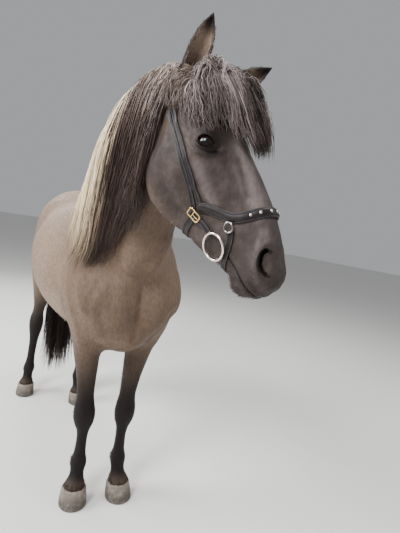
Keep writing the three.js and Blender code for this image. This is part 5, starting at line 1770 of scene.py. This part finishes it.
def dome(centre, out, along):
    across = np.cross(out, along)
    rise = np.linspace(0, 0.96, 7) * np.pi / 2
    angle = 2 * np.pi * np.arange(20) / 20
    around = np.cos(angle)[:, None] * along + np.sin(angle)[:, None] * across
    flat = 3.3 * np.cos(rise)[:, None, None] * around
    return new_piece("dome", *tube(centre + flat + (8.2 + 2.4 * np.sin(rise))[:, None, None] * out))


def make_studs(tree):
    """Small domes along the front of the noseband."""
    half = 120
    line = even(on_head(whole(NOSE, NOSE_MIDDLE)), 2 * half + 1)
    step = np.linalg.norm(line[half + 1] - line[half])
    domes = []
    for k in range(-3, 4):
        at = half + round(k * STUD_GAP / step)
        spots, ways, _ = nearest(tree, line[at - 1:at + 2])
        domes.append(dome(spots[1], unit(ways.mean(0)), unit(spots[2] - spots[0])))
    return shaded_smooth(joined("noseband_studs", domes))


STUD_GAP = 21


def leather_paint():
    paint = Paint("leather")
    grain = paint.noise(420, 4, 0.65)
    wear_and_sheen = paint.noise(70, 4, 0.7)
    edge = paint.marked("edge")
    colour = paint.mix(paint.between(wear_and_sheen, 0.35, 0.75), (0.0095, 0.008, 0.0085), (0.021, 0.017, 0.017))
    # Painted sheen: the straps' marked edges are lightened, more in some places than others.
    colour = paint.mix(edge * paint.between(wear_and_sheen, 0.3, 0.7, 0.35, 0.85), colour, (0.05, 0.045, 0.047))
    rough = paint.between(grain, 0.3, 0.7, 0.36, 0.5)
    normal = paint.bump(grain, 0.0005, 0.5)
    return paint.finish(Base_Color=colour, Roughness=rough, Normal=normal, Specular_IOR_Level=0.18)


def metal_paint(name, light, worn):
    paint = Paint(name)
    scuffs = paint.noise(160, 5, 0.7)
    colour = paint.mix(paint.between(scuffs, 0.42, 0.7), light, worn)
    rough = paint.between(scuffs, 0.3, 0.75, 0.14, 0.38)
    return paint.finish(Base_Color=colour, Metallic=1.0, Roughness=rough)


# Properties, operators and panel
class HorseSizes(bpy.types.PropertyGroup):
    coat_depth: bpy.props.FloatProperty(
        name="Coat depth", description="How far the skin lies inside the coat", default=0.0015, unit="LENGTH")
    body_grid: bpy.props.FloatProperty(
        name="Body grid", description="Size of the skin's faces on the body", default=0.0105, unit="LENGTH")
    head_grid: bpy.props.FloatProperty(
        name="Head grid", description="Size of the skin's faces on the head", default=0.003, unit="LENGTH")


class HORSE_OT_skin(bpy.types.Operator):
    """Makes the skin of the body, legs and head"""

    bl_idname = "horse.skin"
    bl_label = "Skin"

    def execute(self, context):
        skin = make_skin(context.scene.horse_sizes)
        for name, values in skin_marks(places(skin)).items():
            mark(skin, name, values)
        painted(skin, coat_paint())
        flesh = [node for node in frame["nodes"]
                 if node in ("torso", "neck", "head", *EARS) or node.endswith(("_upper", "_lower"))]
        fitted(skin, "coat", *flesh)
        return {"FINISHED"}


class HORSE_OT_hair(bpy.types.Operator):
    """Grows the mane, the forelock and the tail"""

    bl_idname = "horse.hair"
    bl_label = "Mane, forelock and tail"

    def execute(self, context):
        tree = tree_of(bpy.data.objects["skin"])
        paint = hair_paint()
        for pieces, slot, node in (
            (make_mane(tree) + [make_temple(tree)], "mane_hair", "mane"),
            (make_forelock(tree), "mane_hair", "forelock"),
            (make_tail(tree), "tail_hair", "tail"),
        ):
            for piece in pieces:
                fitted(painted(piece, paint), slot, node)
        return {"FINISHED"}


class HORSE_OT_tufts(bpy.types.Operator):
    """Grows the short tufts of the coat and the lashes"""

    bl_idname = "horse.tufts"
    bl_label = "Tufts and lashes"

    def execute(self, context):
        paint = bpy.data.materials["hair"]
        for piece in (make_tufts(bpy.data.objects["skin"]), make_lashes()):
            fitted(painted(piece, paint), "coat")
        return {"FINISHED"}


class HORSE_OT_eyes(bpy.types.Operator):
    """Makes the eyeballs"""

    bl_idname = "horse.eyes"
    bl_label = "Eyes"

    def execute(self, context):
        paint = eye_paint()
        for side, word in ((-1, "right"), (1, "left")):
            fitted(painted(make_eyeball(side, "eyeball_" + word), paint), "eye", "eye_" + word)
        return {"FINISHED"}


class HORSE_OT_hooves(bpy.types.Operator):
    """Makes the hooves"""

    bl_idname = "horse.hooves"
    bl_label = "Hooves"

    def execute(self, context):
        paint = hoof_paint()
        for name in LEGS:
            fitted(painted(make_hoof(name), paint), "hoof", name + "_hoof")
        return {"FINISHED"}


class HORSE_OT_bridle(bpy.types.Operator):
    """Makes the bridle's straps, rings, buckles and studs"""

    bl_idname = "horse.bridle"
    bl_label = "Bridle"

    def execute(self, context):
        tree = tree_of(bpy.data.objects["skin"])
        leather = leather_paint()
        silver = metal_paint("ring", (0.8, 0.7, 0.63), (0.6, 0.46, 0.38))
        brass = metal_paint("buckle", (0.72, 0.5, 0.22), (0.42, 0.28, 0.13))
        for node, piece in make_straps(tree).items():
            fitted(painted(piece, leather), "leather", node)
        tarnished = metal_paint("tarnished", (0.34, 0.31, 0.3), (0.16, 0.14, 0.14))
        for node, piece in make_metal(tree).items():
            slot = "buckle" if node.startswith("buckle") else "ring"
            paint = brass if slot == "buckle" else tarnished if node.startswith("small") else silver
            fitted(painted(piece, paint), slot, node)
        fitted(painted(make_studs(tree), silver), "ring")
        return {"FINISHED"}


# The camera stands low before the horse's right shoulder: its place in millimetres, its turns in degrees.
CAMERA = {"place": (-541, -1953, 1217), "turn": 30.84, "down": 5.19, "roll": 9.37, "lens": 25.63}


def add_camera():
    turn, down, roll = np.radians([CAMERA["turn"], CAMERA["down"], CAMERA["roll"]])
    ahead = np.array([math.sin(turn) * math.cos(down), math.cos(turn) * math.cos(down), -math.sin(down)])
    right = np.array([math.cos(turn), -math.sin(turn), 0.0])
    up = np.cross(right, ahead)
    tilted_right = math.cos(roll) * right + math.sin(roll) * up
    tilted_up = math.cos(roll) * up - math.sin(roll) * right
    lens = bpy.data.cameras.new("camera")
    lens.lens = CAMERA["lens"]
    lens.sensor_width = 36
    lens.clip_start = 0.05
    camera = bpy.data.objects.new("camera", lens)
    place = Matrix.Translation(Vector(to_frame(CAMERA["place"])))
    camera.matrix_world = place @ Matrix(np.stack([tilted_right, tilted_up, -ahead], 1).tolist()).to_4x4()
    bpy.context.scene.collection.objects.link(camera)
    bpy.context.scene.camera = camera


FLOOR_SIZE = 80
AIR = ((0.86, 0.88, 0.9, 1), 0.45)  # the colour and strength of the light from all round
LAMPS = [
    # name, place and aim in metres, size, power
    ("key", (-3.7, -2.3, 3.7), (0, -0.6, 1.1), 1.8, 320),
    ("fill", (3.4, -2.6, 2.4), (0, -0.4, 1.0), 3.2, 45),
    ("side", (-3.6, 1.4, 3.2), (0, 0.2, 1.0), 2.0, 300),
    ("back", (-0.6, 3.8, 3.2), (0, 0, 1.0), 3.0, 100),
    ("top", (0.6, -0.4, 4.6), (0, -0.3, 0.8), 3.4, 150),
]


class HORSE_OT_stage(bpy.types.Operator):
    """Makes the floor, the lights and the camera"""

    bl_idname = "horse.stage"
    bl_label = "Stage"

    def execute(self, context):
        bpy.ops.mesh.primitive_plane_add(size=FLOOR_SIZE, location=(0, 0, 0))
        floor = bpy.context.object
        floor.name = "floor"
        paint = Paint("floor")
        painted(floor, paint.finish(Base_Color=(0.72, 0.71, 0.69, 1), Roughness=0.9))
        for name, place, aim, size, power in LAMPS:
            light = bpy.data.lights.new(name, "AREA")
            light.size = size
            light.energy = power
            lamp = bpy.data.objects.new(name, light)
            lamp.location = place
            lamp.rotation_euler = (Vector(aim) - Vector(place)).to_track_quat("-Z", "Y").to_euler()
            context.scene.collection.objects.link(lamp)
        world = bpy.data.worlds.new("studio")
        context.scene.world = world
        world.use_nodes = True
        background = world.node_tree.nodes["Background"]
        background.inputs["Color"].default_value, background.inputs["Strength"].default_value = AIR
        add_camera()
        return {"FINISHED"}


class HORSE_PT_panel(bpy.types.Panel):
    """Lists the horse's sizes and pieces"""

    bl_idname = "HORSE_PT_panel"
    bl_label = "Icelandic horse"
    bl_space_type = "VIEW_3D"
    bl_region_type = "UI"
    bl_category = "Horse"

    def draw(self, context):
        for name in HorseSizes.__annotations__:
            self.layout.prop(context.scene.horse_sizes, name)
        for operator in OPERATORS:
            self.layout.operator(operator.bl_idname)


OPERATORS = [
    HORSE_OT_stage, HORSE_OT_skin, HORSE_OT_eyes, HORSE_OT_hair, HORSE_OT_tufts, HORSE_OT_hooves,
    HORSE_OT_bridle,
]
CLASSES = [HorseSizes, *OPERATORS, HORSE_PT_panel]


def register():
    for part in CLASSES:
        bpy.utils.register_class(part)
    bpy.types.Scene.horse_sizes = bpy.props.PointerProperty(type=HorseSizes)


def unregister():
    del bpy.types.Scene.horse_sizes
    for part in reversed(CLASSES):
        bpy.utils.unregister_class(part)


def main():
    register()
    for operator in OPERATORS:
        group, name = operator.bl_idname.split(".")
        getattr(getattr(bpy.ops, group), name)()


if __name__ == "__main__":
    main()
